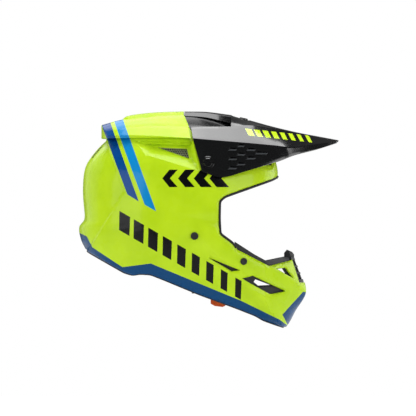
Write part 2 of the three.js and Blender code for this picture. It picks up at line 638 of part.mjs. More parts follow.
// The strap runs down inside the shell, a little forward, clear of the wall by a distance.
const strapAt = (z, clear) => {
  const x = THREE.MathUtils.mapLinear(z, -96, -150, 22, 30);
  const sides = [x - STRAP.width / 2, x + STRAP.width / 2].map((edge) => shellSide(edge, z));
  return [x, clear + WALL - Math.min(...sides), z];
};
const hanger = webbing([-74, -84, -95].map((z) => [22, strapAt(z, 1.6)[1], z]), 22, 1.6)
  .subtract(rod(3.2, -20, 20, STRAP_RIVET));
addPair("strap_hanger", hanger, STEEL);
addPair("strap_web", webbing([-96.5, -112, -128, -143, -151.5].map((z) => strapAt(z, 3.3))), WEBBING);

// The buckled loop below, which swings about the line where the webbing leaves the shell.
const LOOP_X = 30;
const [, hangY] = strapAt(-150, 5.9);
const loopRoute = [[hangY, -149], [hangY + 6, -158], [-66, -162.5], [-34, -164.6], [-12, -164.6]];
add("strap_loop_right", webbing(loopRoute.map(([y, z]) => [LOOP_X, y, z])), WEBBING);
const farRoute = [[-3, -164.6], [34, -164.6], [66, -162.5], [-hangY - 6, -158], [-hangY, -149]];
add("strap_loop_left", webbing(farRoute.map(([y, z]) => [LOOP_X, y, z])), WEBBING);
const TAIL = [[-4, -169.8], [30, -169.4], [66, -167.2]];
add("strap_tail", webbing(TAIL.map(([y, z]) => [LOOP_X, y, z])), WEBBING);

// Two D-rings pinched flat between the layers of the strap, and the popper that holds its tail.
function dRing(yStart, z) {
  const outline = [[-15, 0], [15, 0], [15, 9], [8, 17], [-8, 17], [-15, 9]];
  const ring = (points, low, high) => {
    const solid = prism(points, low, high);
    return solid.rotate([-90, 0, 0]).translate([LOOP_X, yStart, z]);
  };
  return ring(outline, -0.9, 0.9).subtract(ring(inset(outline, 2.6), -5, 5));
}
add("d_ring_inner", dRing(-11.4, -161.8), STEEL);
add("d_ring_outer", dRing(-8, -167.3), STEEL);
const popper = { at: new THREE.Vector3(LOOP_X, 54, -169.2), out: new THREE.Vector3(0, 0.05, -0.9987) };
add("strap_popper", turned([[0, 0], [6, 0], [6, 1.4], [4.6, 2.2], [0, 2.2]], popper), BLACK_MATT);

export default helmet;
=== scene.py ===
"""An off-road helmet in painted plastic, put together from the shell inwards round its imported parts.

Outlines are in millimetres in the side view, [x, z], as the helmet is worn; meshes are made in metres.
"""
import math

import bpy
from mathutils.bvhtree import BVHTree
import numpy as np
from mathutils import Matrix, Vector, geometry as flat_geometry


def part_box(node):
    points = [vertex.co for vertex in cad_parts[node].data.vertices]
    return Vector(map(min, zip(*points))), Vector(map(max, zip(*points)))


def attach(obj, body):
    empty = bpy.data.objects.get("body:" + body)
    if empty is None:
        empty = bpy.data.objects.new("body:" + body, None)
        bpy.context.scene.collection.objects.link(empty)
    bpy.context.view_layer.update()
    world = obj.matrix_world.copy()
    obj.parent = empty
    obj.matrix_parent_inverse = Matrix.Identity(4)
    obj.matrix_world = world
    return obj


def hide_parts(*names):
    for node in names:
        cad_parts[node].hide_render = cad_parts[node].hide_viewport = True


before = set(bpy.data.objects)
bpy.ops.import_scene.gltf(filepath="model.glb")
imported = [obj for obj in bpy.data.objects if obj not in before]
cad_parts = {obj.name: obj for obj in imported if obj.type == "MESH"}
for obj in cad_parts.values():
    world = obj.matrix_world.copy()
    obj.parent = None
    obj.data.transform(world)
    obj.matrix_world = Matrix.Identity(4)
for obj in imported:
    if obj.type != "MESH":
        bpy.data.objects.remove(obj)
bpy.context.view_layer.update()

# ---- Shell ----------------------------------------------------------------------------------------
# The shell is injection-moulded plastic about 3 mm thick, painted fluorescent yellow with blue stripes
# under a clear coat. Its openings are moulded in, and every piece under it follows the same closed form.

MM = 0.001
EAR = np.array([-6.0, -52.0])
HALF_WIDTH = 123.0
WALL = 3.4
SHELL_PROFILE = np.array([
    [-165, 150], [-159, 148], [-145, 148], [-130, 160], [-110, 180], [-90, 198], [-70, 218],
    [-55, 236], [-45.5, 236.5], [-38.6, 230.6], [-31.7, 228.8], [-28.6, 221.8], [-24.5, 205],
    [-19.5, 189], [-14, 178], [-6, 170], [4, 165], [14, 163], [20, 163], [23, 166.2], [28.5, 169.6],
    [36, 167], [45, 163], [60, 158], [75, 153], [90, 150], [110, 151.5], [130, 154.5], [145, 156.3],
    [152.3, 156], [164, 148], [176, 141], [183, 140.6], [187.2, 149],
])
CHIN_TOP = -50.0
CHIN_FLATS = [(265.8, -1.2508, 0.121), (231.0, -1.5858, -0.4968)]


def smooth(low, high, value):
    """Rises from 0 to 1 between two values, level at both ends."""
    t = np.clip((value - low) / (high - low), 0, 1)
    return t * t * (3 - 2 * t)


def turned_in(degrees):
    """The same angle between -180 and 180."""
    return (degrees + 180) % 360 - 180


def radius_at(profile, degrees):
    """Radius of a closed profile at an angle: a cubic through its points, with their neighbours' slopes."""
    angles = np.concatenate([profile[-2:, 0] - 360, profile[:, 0], profile[:3, 0] + 360])
    radii = np.concatenate([profile[-2:, 1], profile[:, 1], profile[:3, 1]])
    angle = profile[0, 0] + (degrees - profile[0, 0]) % 360
    i = np.clip(np.searchsorted(angles, angle, side="right") - 1, 1, len(angles) - 3)
    span = angles[i + 1] - angles[i]
    t = (angle - angles[i]) / span
    leaving = (radii[i + 1] - radii[i - 1]) / (angles[i + 1] - angles[i - 1]) * span
    arriving = (radii[i + 2] - radii[i]) / (angles[i + 2] - angles[i]) * span
    rise = t * t * (3 - 2 * t)
    bend = leaving * t * (1 - t) ** 2 - arriving * t * t * (1 - t)
    return radii[i] + (radii[i + 1] - radii[i]) * rise + bend


def reach_of(profile, degrees, share, offset):
    """Distance from the centre at a share of the way out. The profile's corners only show near its edge."""
    soft = sum(radius_at(profile, degrees + step) for step in (-16, -8, 0, 8, 16)) / 5
    return share * (soft + offset + (radius_at(profile, degrees) - soft) * share ** 6)


def half_width(degrees, share, offset):
    """Half width of the shell's form: a superellipse over the share, cut by two flats on the chin bar."""
    angle = turned_in(degrees)
    chin = smooth(-112, -62, angle) * (1 - smooth(-14, 8, angle))
    blunt = smooth(-51, -43, angle) * (1 - smooth(-20, -12, angle))
    across = 2.4 + (1.9 - 2.4) * chin
    over = 1 / 2.2 + (1 / 1.72 - 1 / 2.2) * chin
    drop = np.maximum(0, 1 - (share * (1 - 0.13 * blunt)) ** across) ** over
    end = np.maximum(0, 1 - share ** 40) ** (0.5 * blunt)
    width = (HALF_WIDTH + offset) * drop * np.where(blunt > 0, end, 1)
    radius = reach_of(SHELL_PROFILE, degrees, share, offset)
    x = EAR[0] + radius * np.cos(np.radians(degrees))
    z = EAR[1] + radius * np.sin(np.radians(degrees))
    for at, along_x, along_z in CHIN_FLATS:
        flat = (at + along_x * x + along_z * z + offset * 1.6) * np.where(blunt > 0, end, 1)
        width = np.where(z > CHIN_TOP, width, np.minimum(width, flat))
    return np.maximum(width, 0)


def form_points(degrees, share, offset):
    """Points on the right half of the shell's form: out along the angle, then sideways by the half width."""
    radius = reach_of(SHELL_PROFILE, degrees, share, offset)
    x = EAR[0] + radius * np.cos(np.radians(degrees))
    z = EAR[1] + radius * np.sin(np.radians(degrees))
    return np.stack([x, -half_width(degrees, share, offset), z], axis=-1)


def bearing_of(x, z, offset=0.0):
    """Angle and share of places in the side view, by halving; a share over 1 is outside the silhouette."""
    degrees = np.degrees(np.arctan2(z - EAR[1], x - EAR[0]))
    radius = np.hypot(x - EAR[0], z - EAR[1])
    full = reach_of(SHELL_PROFILE, degrees, 1.0, offset)
    low, high = np.zeros_like(radius), np.ones_like(radius)
    for _ in range(26):
        middle = (low + high) / 2
        short = reach_of(SHELL_PROFILE, degrees, middle, offset) < radius
        low, high = np.where(short, middle, low), np.where(short, high, middle)
    return degrees, np.where(radius > full, radius / full, high)


def side_at(x, z, offset=0.0):
    """Half width of the form at places in the side view."""
    degrees, share = bearing_of(np.asarray(x, float), np.asarray(z, float), offset)
    return half_width(degrees, np.minimum(share, 1), offset)


def edge_distances(x, z, outline):
    """Distance of places inwards from each side of a convex outline, one row for each side."""
    start = np.asarray(outline, float)
    side = np.roll(start, -1, axis=0) - start
    turn = np.sign(np.sum(start[:, 0] * np.roll(start[:, 1], -1) - np.roll(start[:, 0], -1) * start[:, 1]))
    normal = turn * np.stack([-side[:, 1], side[:, 0]], axis=1) / np.hypot(*side.T)[:, None]
    return np.stack([(x - p[0]) * n[0] + (z - p[1]) * n[1] for p, n in zip(start, normal)])


def line_distance(x, z, line):
    """Distance of places from a broken line: the least distance to its pieces."""
    points = np.asarray(line, float)
    away = []
    for a, b in zip(points[:-1], points[1:]):
        run = b - a
        share = np.clip(((x - a[0]) * run[0] + (z - a[1]) * run[1]) / (run @ run), 0, 1)
        away.append(np.hypot(x - a[0] - share * run[0], z - a[1] - share * run[1]))
    return np.min(away, axis=0)


def is_inside(x, z, outline):
    """Whether places are inside an outline, by counting the sides that a level line crosses."""
    start = np.asarray(outline, float)
    inside = np.zeros(np.shape(x), bool)
    for (ax, az), (bx, bz) in zip(start, np.roll(start, -1, axis=0)):
        if az != bz:
            crosses = (az > z) != (bz > z)
            inside ^= crosses & (x < (bx - ax) * (z - az) / (bz - az) + ax)
    return inside


def inset(outline, distance):
    """An outline moved inwards by a distance, or outwards if it is negative, with mitred corners."""
    points = np.asarray(outline, float)
    after = np.roll(points, -1, axis=0) - points
    after /= np.hypot(*after.T)[:, None]
    before = np.roll(after, 1, axis=0)
    area = np.sum(points[:, 0] * np.roll(points[:, 1], -1) - np.roll(points[:, 0], -1) * points[:, 1])
    share = np.sign(area) * distance / (1 + np.sum(before * after, axis=1))
    both = (before + after) * share[:, None]
    return points + np.stack([-both[:, 1], both[:, 0]], axis=1)


def spaced(outline, spacing, closed=True):
    """Points along an outline at a spacing, keeping its corners."""
    points = np.asarray(outline, float)
    ends = np.roll(points, -1, axis=0) if closed else points[1:]
    starts = points if closed else points[:-1]
    runs = []
    for a, b in zip(starts, ends):
        count = max(1, int(np.ceil(np.hypot(*(b - a)) / spacing)))
        runs.append(a + (b - a) * (np.arange(count) / count)[:, None])
    return np.concatenate(runs if closed else [*runs, points[-1:]])


LOWER_EDGE = [
    (-230, -56.4), (-81.8, -138.6), (-69.3, -142.1), (-59.6, -140.1), (-42.9, -140.9), (-20.7, -149.7),
    (29.3, -170.6), (84.8, -191.4), (112.4, -202.5), (123.5, -209.4), (154.1, -220.5), (300, -225),
]
BELOW_SHELL = [*LOWER_EDGE, (300, -320), (-230, -320)]
EYE_PORT = [
    (68.1, -25.1), (138.8, 0), (147, 4.5), (230, 4.5), (230, -100), (172.1, -113), (167.1, -120.3),
    (132.9, -128.4), (85.8, -104.1), (79.2, -94.4), (60.3, -80.6), (59.1, -57), (59.7, -32),
]
SIDE_POCKET = [(-67, 58.8), (19.5, 57), (30, 12.5), (-52, 37.7)]
POCKET_SLOPES = (1.8, 1.5, 0.62, 0.5)
POCKET_DEPTH = 9.0
SIDE_WINDOW = [(-33.9, 48.6), (10.7, 46.5), (14.4, 31.5)]
CHIN_UPPER_OPENING = [(143.5, -132.6), (158.9, -131), (171.9, -148.4)]
CHIN_SIDE_OPENING = [(92.3, -147.2), (108.5, -142.8), (158.1, -166.7), (134.6, -170.7)]
CHIN_SLIT = [(41.9, -115.2), (89.9, -134.7), (76.8, -137.4)]
BROW_VENT = [(127, 22.5), (138.5, 29), (136.5, 22)]
BROW_RECESS = [(116, 17), (131, 33), (144, 33), (139, 15)]
REAR_PANEL = [(-121, 88), (-115.5, 75), (-78, -22.5), (-130.8, -96), (-146, -120), (-230, -120), (-230, 88)]
CHIN_RIM = [(84, -150), (104, -138), (166, -165), (134, -177)]
JAW_CREASE = [(-43, -124), (5.7, -105.8), (30, -104), (61, -84.6)]
CHIN_RIDGE = [(96, -108.4), (185.7, -157)]
REAR_EXHAUST = {"y": (8, 30), "z": (34, 53)}
MOUTH_NOTCH = {"y": 21, "z": (-154, -90)}
STEP = 2.0
RIM = 6.0


def panel_relief(x, z):
    """How far the stepped rear panel lies under the form: up to 2.2 mm, over a slope 3 mm wide."""
    sunk = 2.2 * np.clip(np.min(edge_distances(x, z, REAR_PANEL), axis=0) / 3, 0, 1)
    return np.where(is_inside(x, z, REAR_PANEL), -sunk, 0)


def local_relief(x, z):
    """How far the openings' surrounds lie under the form: pocket, vent recesses and rolled rims."""
    slopes = np.array(POCKET_SLOPES)[:, None] * edge_distances(x, z, SIDE_POCKET)
    depth = -np.clip(np.min(slopes, axis=0), 0, POCKET_DEPTH)
    depth -= np.clip(np.min(edge_distances(x, z, BROW_RECESS), axis=0) * 0.5, 0, 1.8)
    depth -= np.clip(np.min(edge_distances(x, z, CHIN_RIM), axis=0) * 0.4, 0, 2.0)
    away = line_distance(x, z, EYE_PORT[6:] + EYE_PORT[:3])
    return depth - 1.1 * (1 - np.clip(away / RIM, 0, 1)) ** 2


CHART = 100.0


def charted(x, z):
    """Places in the side view on a flat chart, where distance from the ear is the arc sine of the share."""
    degrees, share = bearing_of(np.asarray(x, float), np.asarray(z, float))
    outwards = np.where(share > 1, math.pi / 2 + 2 * (share - 1), np.arcsin(np.minimum(share, 1)))
    turn = np.radians(degrees)
    return np.stack([CHART * outwards * np.cos(turn), CHART * outwards * np.sin(turn)], axis=1)


def x_where(y, z, inner_x):
    """Where the form's half width is y at a height, between an inner x and the silhouette, by halving."""
    y, z = np.broadcast_arrays(np.asarray(y, float), np.asarray(z, float))
    inner = np.full(y.shape, float(inner_x))
    outer = np.full(y.shape, math.copysign(240.0, inner_x))
    for _ in range(30):
        middle = (inner + outer) / 2
        degrees, share = bearing_of(middle, z)
        wide = np.where(share >= 1, -1, half_width(degrees, np.minimum(share, 1), 0.0)) > y
        inner, outer = np.where(wide, middle, inner), np.where(wide, outer, middle)
    return inner


def window_line(y_range, z_range, inner_x):
    """The outline, in the side view, of an opening given by ranges of half width and height."""
    (y0, y1), (z0, z1) = y_range, z_range
    count = 16
    y = np.concatenate([np.linspace(y0, y1, count), np.full(count, y1), np.linspace(y1, y0, count)])
    z = np.concatenate([np.full(count, z0), np.linspace(z0, z1, count), np.full(count, z1)])
    if y0 > 0:
        y, z = np.append(y, np.full(count, y0)), np.append(z, np.linspace(z1, z0, count))
    keep = np.append(np.hypot(np.diff(y), np.diff(z)) > 1e-6, True)
    y, z = y[keep], z[keep]
    return np.stack([x_where(y, z, inner_x), z], axis=1)


def shell_skin():
    """The shell's outer skin: its form on an even chart, with every crease and opening as an edge.

    A hexagonal net of points is laid on the chart with the outlines as fixed edges. The triangles in the
    openings go, the rest are lifted to the form plus its relief, and the left half mirrors the right.
    """
    rim = CHART * math.pi / 2
    rows = np.arange(-rim, rim, STEP * 0.866)
    columns = np.arange(-rim, rim, STEP)
    net = np.stack(np.meshgrid(columns, rows), axis=-1)
    net[1::2, :, 0] += STEP / 2
    net = net.reshape(-1, 2)
    net = net[np.hypot(*net.T) < rim - STEP * 0.5]

    openings = [BELOW_SHELL, EYE_PORT, SIDE_WINDOW]
    openings += [CHIN_UPPER_OPENING, CHIN_SIDE_OPENING, CHIN_SLIT, BROW_VENT]
    loops = [*openings, SIDE_POCKET, inset(SIDE_POCKET, 5.5), BROW_RECESS, CHIN_RIM, inset(CHIN_RIM, 5)]
    loops += [REAR_PANEL, inset(REAR_PANEL, 3)]
    loops += [[(x - RIM * 0.5, z) for x, z in EYE_PORT[9:]]]
    lines = [(spaced(loop, 2.2), True) for loop in loops[:-1]]
    lines += [(spaced(line, 2.2, False), False) for line in (JAW_CREASE, CHIN_RIDGE, loops[-1])]
    circle = np.linspace(0, 2 * math.pi, 400, endpoint=False)
    drawn = [(rim * np.stack([np.cos(circle), np.sin(circle)], axis=1), True)]
    exhaust = window_line(REAR_EXHAUST["y"], REAR_EXHAUST["z"], -60)
    notch = window_line((0.05, MOUTH_NOTCH["y"]), (MOUTH_NOTCH["z"][0], -118), 110)
    lines += [(exhaust[:-1], True), (notch[:32], False)]
    drawn += [(charted(*line.T), closed) for line, closed in lines]

    fixed = np.concatenate([points for points, _ in drawn])
    keep = np.ones(len(net), bool)
    for chunk in np.array_split(fixed, 30):
        keep &= np.min(np.hypot(*(net[:, None] - chunk[None]).transpose(2, 0, 1)), axis=1) > STEP * 0.55
    points, edges = [net[keep]], []
    first = int(keep.sum())
    for line, closed in drawn:
        index = first + np.arange(len(line))
        pairs = np.stack([index, np.roll(index, -1)], axis=1)
        edges.append(pairs if closed else pairs[:-1])
        points.append(line)
        first += len(line)
    points, edges = np.concatenate(points), np.concatenate(edges)
    made = flat_geometry.delaunay_2d_cdt(points.tolist(), edges.tolist(), [], 0, 1e-4, False)
    chart, faces = np.array([tuple(v) for v in made[0]]), np.array(made[2])

    degrees = np.degrees(np.arctan2(chart[:, 1], chart[:, 0]))
    share = np.sin(np.minimum(np.hypot(*chart.T) / CHART, math.pi / 2))
    flat = form_points(degrees, share, 0.0)
    middle = flat[faces].mean(axis=1)
    outside = np.hypot(*chart[faces].mean(axis=1).T) > rim
    for outline in openings:
        outside |= is_inside(middle[:, 0], middle[:, 2], outline)
    side, height = np.abs(middle[:, 1]), middle[:, 2]
    (low, high), (bottom, top) = REAR_EXHAUST["y"], REAR_EXHAUST["z"]
    outside |= (middle[:, 0] < 0) & (side > low) & (side < high) & (height > bottom) & (height < top)
    bottom, top = MOUTH_NOTCH["z"]
    outside |= (middle[:, 0] > 120) & (side < MOUTH_NOTCH["y"]) & (height > bottom) & (height < top)
    faces = faces[~outside]

    right = form_points(degrees, share, panel_relief(flat[:, 0], flat[:, 2]))
    sunk = local_relief(flat[:, 0], flat[:, 2])
    low = sunk < 0
    right[low, 1] = -side_at(right[low, 0], right[low, 2], sunk[low])
    right[np.hypot(*chart.T) > rim - 1e-3, 1] = 0
    on_middle = np.abs(right[:, 1]) < 1e-6
    index = np.arange(len(right))
    twin = np.where(on_middle, index, len(right) + np.cumsum(~on_middle) - 1)
    left = right[~on_middle] * [1, -1, 1]
    corner = right[faces]
    normal = np.cross(corner[:, 1] - corner[:, 0], corner[:, 2] - corner[:, 0])
    outward = np.sum(normal * (corner.mean(axis=1) - [EAR[0], 0, EAR[1]]), axis=1) > 0
    faces = np.where(outward[:, None], faces, faces[:, ::-1])
    return np.concatenate([right, left]), np.concatenate([faces, twin[faces][:, ::-1]])


def new_piece(name, points, faces, finish=None, crease=28):
    """A piece from points in millimetres and its faces, smooth except at edges sharper than the crease."""
    used, corners = np.unique(np.concatenate([np.asarray(face) for face in faces]), return_inverse=True)
    ends = np.cumsum([len(face) for face in faces])[:-1]
    sides = [side.tolist() for side in np.split(corners, ends)]
    mesh = bpy.data.meshes.new(name)
    mesh.from_pydata((np.asarray(points, float)[used] * MM).tolist(), [], sides)
    piece = bpy.data.objects.new(name, mesh)
    bpy.context.scene.collection.objects.link(piece)
    smoothed(piece, crease)
    if finish:
        piece.data.materials.append(finish)
    return piece


def smoothed(piece, crease=28):
    """Smooth shading, with edges sharper than an angle left sharp."""
    piece.data.shade_smooth()
    piece.data.set_sharp_from_angle(angle=math.radians(crease))


def linear(code):
    """An sRGB hex colour as linear red, green, blue and alpha."""
    values = np.array([int(code[i:i + 2], 16) for i in (1, 3, 5)]) / 255
    values = np.where(values <= 0.04045, values / 12.92, ((values + 0.055) / 1.055) ** 2.4)
    return (*values.tolist(), 1.0)


def node(tree, kind, sockets=(), **settings):
    """Adds a node with its settings, and gives each of its inputs a link or a value."""
    made = tree.nodes.new("ShaderNode" + kind)
    for name, value in settings.items():
        setattr(made, name, value)
    for name, value in dict(sockets).items():
        if isinstance(value, bpy.types.NodeSocket):
            tree.links.new(value, made.inputs[name])
        else:
            made.inputs[name].default_value = value
    return made


def new_finish(name, **values):
    """A material with a shader set to plain values, and the object's own coordinates in millimetres."""
    finish = bpy.data.materials.new(name)
    finish.use_nodes = True
    tree = finish.node_tree
    tree.nodes.clear()
    shader = node(tree, "BsdfPrincipled", values)
    node(tree, "OutputMaterial", {"Surface": shader.outputs["BSDF"]})
    place = node(tree, "TexCoord").outputs["Object"]
    coords = node(tree, "Mapping", {"Vector": place, "Scale": (1000, 1000, 1000)}).outputs["Vector"]
    return finish, tree, shader, coords


def line_height(tree, coords, a, b):
    """Signed distance of a place from a line in the side view, in mm, positive to the left of a to b."""
    side = np.array([b[0] - a[0], b[1] - a[1]], float)
    normal = np.array([-side[1], side[0]]) / np.hypot(*side)
    dot = node(tree, "VectorMath", {0: coords, 1: (normal[0], 0, normal[1])}, operation="DOT_PRODUCT")
    at = float(normal @ np.array(a, float))
    return node(tree, "Math", {0: dot.outputs["Value"], 1: at}, operation="SUBTRACT").outputs[0]


def combined(tree, operation, values):
    """All the values through one two-sided operation, such as the least of them."""
    result = values[0]
    for value in values[1:]:
        result = node(tree, "Math", {0: result, 1: value}, operation=operation).outputs[0]
    return result


def outline_mask(tree, coords, outline):
    """1 inside a convex outline in the side view, from the least distance to its sides."""
    points = np.asarray(outline, float)
    area = np.sum(points[:, 0] * np.roll(points[:, 1], -1) - np.roll(points[:, 0], -1) * points[:, 1])
    if area < 0:
        points = points[::-1]
    heights = [line_height(tree, coords, a, b) for a, b in zip(points, np.roll(points, -1, axis=0))]
    least = combined(tree, "MINIMUM", heights)
    return node(tree, "Math", {0: least, 1: 0.0}, operation="GREATER_THAN").outputs[0]


def bars_mask(tree, coords, start, end, height, count, slant, chevrons=False):
    """A row of slanted bars or chevrons that thins along it: fract(count * run + slant * rise) < share."""
    along = np.array([end[0] - start[0], end[1] - start[1]], float)
    length = float(np.hypot(*along))
    along /= length
    move = node(tree, "VectorMath", {0: coords, 1: (start[0], 0, start[1])}, operation="SUBTRACT").outputs[0]
    forward = (along[0] / length, 0, along[1] / length)
    upward = (-along[1] / height, 0, along[0] / height)
    run = node(tree, "VectorMath", {0: move, 1: forward}, operation="DOT_PRODUCT")
    rise = node(tree, "VectorMath", {0: move, 1: upward}, operation="DOT_PRODUCT")
    run, rise = run.outputs["Value"], rise.outputs["Value"]
    level = node(tree, "Math", {0: rise}, operation="ABSOLUTE").outputs[0]
    lean = node(tree, "Math", {0: level if chevrons else rise, 1: slant}, operation="MULTIPLY").outputs[0]
    phase = node(tree, "Math", {0: run, 1: float(count), 2: lean}, operation="MULTIPLY_ADD").outputs[0]
    part = node(tree, "Math", {0: phase}, operation="FRACT").outputs[0]
    share = node(tree, "Math", {0: run, 1: -0.36, 2: 0.76}, operation="MULTIPLY_ADD").outputs[0]
    tests = [
        node(tree, "Math", {0: part, 1: share}, operation="LESS_THAN").outputs[0],
        node(tree, "Math", {0: level, 1: 0.5}, operation="LESS_THAN").outputs[0],
        node(tree, "Math", {0: phase, 1: 0.0}, operation="GREATER_THAN").outputs[0],
        node(tree, "Math", {0: phase, 1: float(count)}, operation="LESS_THAN").outputs[0],
    ]
    return combined(tree, "MULTIPLY", tests)


def laid_over(tree, base, cover, mask):
    """One colour over another where a mask is 1."""
    return node(tree, "Mix", {0: mask, 6: base, 7: cover}, data_type="RGBA").outputs[2]


DARK_STRIPE = [(-127.9, 110), (-113.2, 110), (-60.9, -32.3), (-78, -21.6)]
LIGHT_STRIPE = [(-106.8, 110), (-92.5, 110), (-35, -46.8), (-52.1, -37.1)]
CHIN_PATCH = [(185.1, -167.7), (198, -171), (166, -226), (153.3, -201.6)]
CROWN_FRONT = [(5.6, 110), (5.6, 98.8), (14.5, 77.2), (24, 62), (140, 62), (140, 110)]
BAND_RISE = [(-143.9, -76.5), (-130.8, -100.8), (-85.4, -130.1), (-43.1, -124.4)]
BAND_FALL = [(-43.1, -124.4), (90, -179.7), (149.1, -209), (160.4, -217.6)]


def shell_paint():
    """Fluorescent paint with blue stripes and black bars under clear coat, with orange peel and dust."""
    finish, tree, shader, coords = new_finish(
        "fluorescent_shell_paint",
        **{"IOR": 1.5, "Specular IOR Level": 0.07,
           "Coat Weight": 0.22, "Coat Roughness": 0.1, "Coat IOR": 1.5},
    )
    blotch = node(tree, "TexNoise", {"Vector": coords, "Scale": 0.022, "Detail": 3.0}).outputs["Fac"]
    yellow = node(tree, "ValToRGB", {"Fac": blotch})
    yellow.color_ramp.elements[0].position, yellow.color_ramp.elements[1].position = 0.35, 0.65
    yellow.color_ramp.elements[0].color = linear("#aed216")
    yellow.color_ramp.elements[1].color = linear("#badc20")
    colour = yellow.outputs["Color"]
    colour = laid_over(tree, colour, linear("#004488"), outline_mask(tree, coords, DARK_STRIPE))
    colour = laid_over(tree, colour, linear("#0a84c6"), outline_mask(tree, coords, LIGHT_STRIPE))
    risen = [line_height(tree, coords, b, a) for a, b in zip(BAND_RISE, BAND_RISE[1:])]
    rise = combined(tree, "MAXIMUM", risen)
    fall = [line_height(tree, coords, b, a) for a, b in zip(BAND_FALL, BAND_FALL[1:])]
    below = combined(tree, "MINIMUM", [rise, *fall])
    band = node(tree, "Math", {0: below, 1: 0.0}, operation="GREATER_THAN").outputs[0]
    patch = outline_mask(tree, coords, CHIN_PATCH)
    colour = laid_over(tree, colour, linear("#00406f"), combined(tree, "MAXIMUM", [band, patch]))
    black = linear("#08090a")
    colour = laid_over(tree, colour, black, outline_mask(tree, coords, CROWN_FRONT))
    bars = bars_mask(tree, coords, (-90, -60.5), (104, -172), 25, 9, 0.55)
    colour = laid_over(tree, colour, black, bars)
    chevrons = bars_mask(tree, coords, (62, 2), (-40, 2), 26, 4, 0.9, chevrons=True)
    colour = laid_over(tree, colour, black, chevrons)
    tree.links.new(colour, shader.inputs["Base Color"])
    peel = node(tree, "TexNoise", {"Vector": coords, "Scale": 0.35, "Detail": 2.0}).outputs["Fac"]
    bump = node(tree, "Bump", {"Height": peel, "Strength": 0.06, "Distance": 0.0004}).outputs["Normal"]
    tree.links.new(bump, shader.inputs["Coat Normal"])
    dust = node(tree, "TexNoise", {"Vector": coords, "Scale": 0.08, "Detail": 6.0}).outputs["Fac"]
    span = {"From Min": 0.3, "From Max": 0.8, "To Min": 0.22, "To Max": 0.38}
    rough = node(tree, "MapRange", {"Value": dust, **span})
    tree.links.new(rough.outputs["Result"], shader.inputs["Roughness"])
    return finish


painted = shell_paint()
shell = new_piece("shell_painted", *shell_skin(), painted, crease=24)
thickness = shell.modifiers.new("wall", "SOLIDIFY")
thickness.thickness, thickness.offset = (WALL - 0.4) * MM, -1
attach(shell, "shell")
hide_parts("outer_shell")

# ---- Crown plate ------------------------------------------------------------------------------------
# The raised plate over the crown ends behind in a short spoiler. It is moulded with the shell and painted
# with it, and a low ridge runs along its middle up to the air scoop.

PLATE_STATIONS = [
    [(-118.4, 0, 82.7), (-117, 26, 81), (-113, 48, 74.5), (-108.2, 62, 65.4)],
    [(-84, 0, 91.6), (-84, 30, 90.2), (-84, 62, 78.6), (-84, 76, 66.3)],
    [(-40, 0, 97), (-40, 33, 95.6), (-39, 74, 80.5), (-38, 92, 64.8)],
    [(5.6, 0, 98.8), (6, 33, 97.6), (13.2, 77, 78.3), (16.8, 98, 61.4)],
]
CREST_STATIONS = [
    [(-88, 0, 90.2), (-88, 22, 89), (-88, 26, 86)],
    [(-77, 0, 97), (-77, 24, 95.4), (-77, 30, 88)],
    [(-40, 0, 101.7), (-40, 25, 100), (-40, 32, 92)],
    [(5.6, 0, 103.4), (5.6, 25, 101.6), (5.6, 33, 94)],
]


def lofted(stations, rows, columns):
    """A surface through stations: a cubic along them with their neighbours' slopes, and straight across."""
    points = np.asarray(stations, float)
    count = len(points)
    t = np.linspace(0, count - 1, rows)
    i = np.minimum(t.astype(int), count - 2)
    t = (t - i)[:, None, None]
    slopes = np.gradient(points, axis=0)
    a, b, da, db = points[i], points[i + 1], slopes[i], slopes[i + 1]
    rise = t * t * (3 - 2 * t)
    along = a + (b - a) * rise + da * t * (1 - t) ** 2 - db * t * t * (1 - t)
    way = (np.arange(columns) / columns)[:, None]
    cuts = [along[:, j, None] + (along[:, j + 1, None] - along[:, j, None]) * way
            for j in range(points.shape[1] - 1)]
    return np.concatenate([*cuts, along[:, -1:]], axis=1)


def both_sides(grid):
    """A grid from the middle outwards, mirrored: from the right edge over the middle to the left."""
    return np.concatenate([(grid * [1, -1, 1])[:, :0:-1], grid], axis=1)


def grid_faces(rows, columns, first=0, around=False):
    """Four-sided faces of a grid of points, joined round each row if it closes."""
    i, j = np.meshgrid(np.arange(rows - 1), np.arange(columns if around else columns - 1), indexing="ij")
    k = (j + 1) % columns
    near, far = i * columns, (i + 1) * columns
    faces = np.stack([near + j, near + k, far + k, far + j], axis=-1)
    return faces.reshape(-1, 4) + first


def slab_faces(rows, columns):
    """Faces of a sheet with thickness: an outer grid, an inner one turned over, and a band between."""
    outer = grid_faces(rows, columns)
    inner = grid_faces(rows, columns, rows * columns)[:, ::-1]
    index = np.arange(rows * columns).reshape(rows, columns)
    edge = np.concatenate([index[0, :-1], index[:-1, -1], index[-1, :0:-1], index[:0:-1, 0]])
    after = np.roll(edge, -1)
    band = np.stack([after, edge, edge + rows * columns, after + rows * columns], axis=1)
    return np.concatenate([outer, inner, band])


def grid_normals(grid):
    """Unit normals of a grid: the cross of its two directions."""
    normal = np.cross(np.gradient(grid, axis=0), np.gradient(grid, axis=1))
    return normal / np.maximum(np.linalg.norm(normal, axis=-1, keepdims=True), 1e-9)


def bevelled(piece, width, segments=2, angle=22):
    """Rounds a piece's edges over a width in millimetres."""
    round_off = piece.modifiers.new("rounded", "BEVEL")
    round_off.width, round_off.segments = width * MM, segments
    round_off.limit_method, round_off.angle_limit = "ANGLE", math.radians(angle)
    round_off.harden_normals = False
    return piece


def block(name, stations, rows, columns, floor, finish):
    """A solid under a lofted top: its underside is the same plan at a floor height."""
    top = both_sides(lofted(stations, rows, columns))
    under = np.stack([top[..., 0], top[..., 1] * 0.96, np.full(top.shape[:2], float(floor))], axis=-1)
    points = np.concatenate([top.reshape(-1, 3), under.reshape(-1, 3)])
    return new_piece(name, points, slab_faces(*top.shape[:2]), finish)


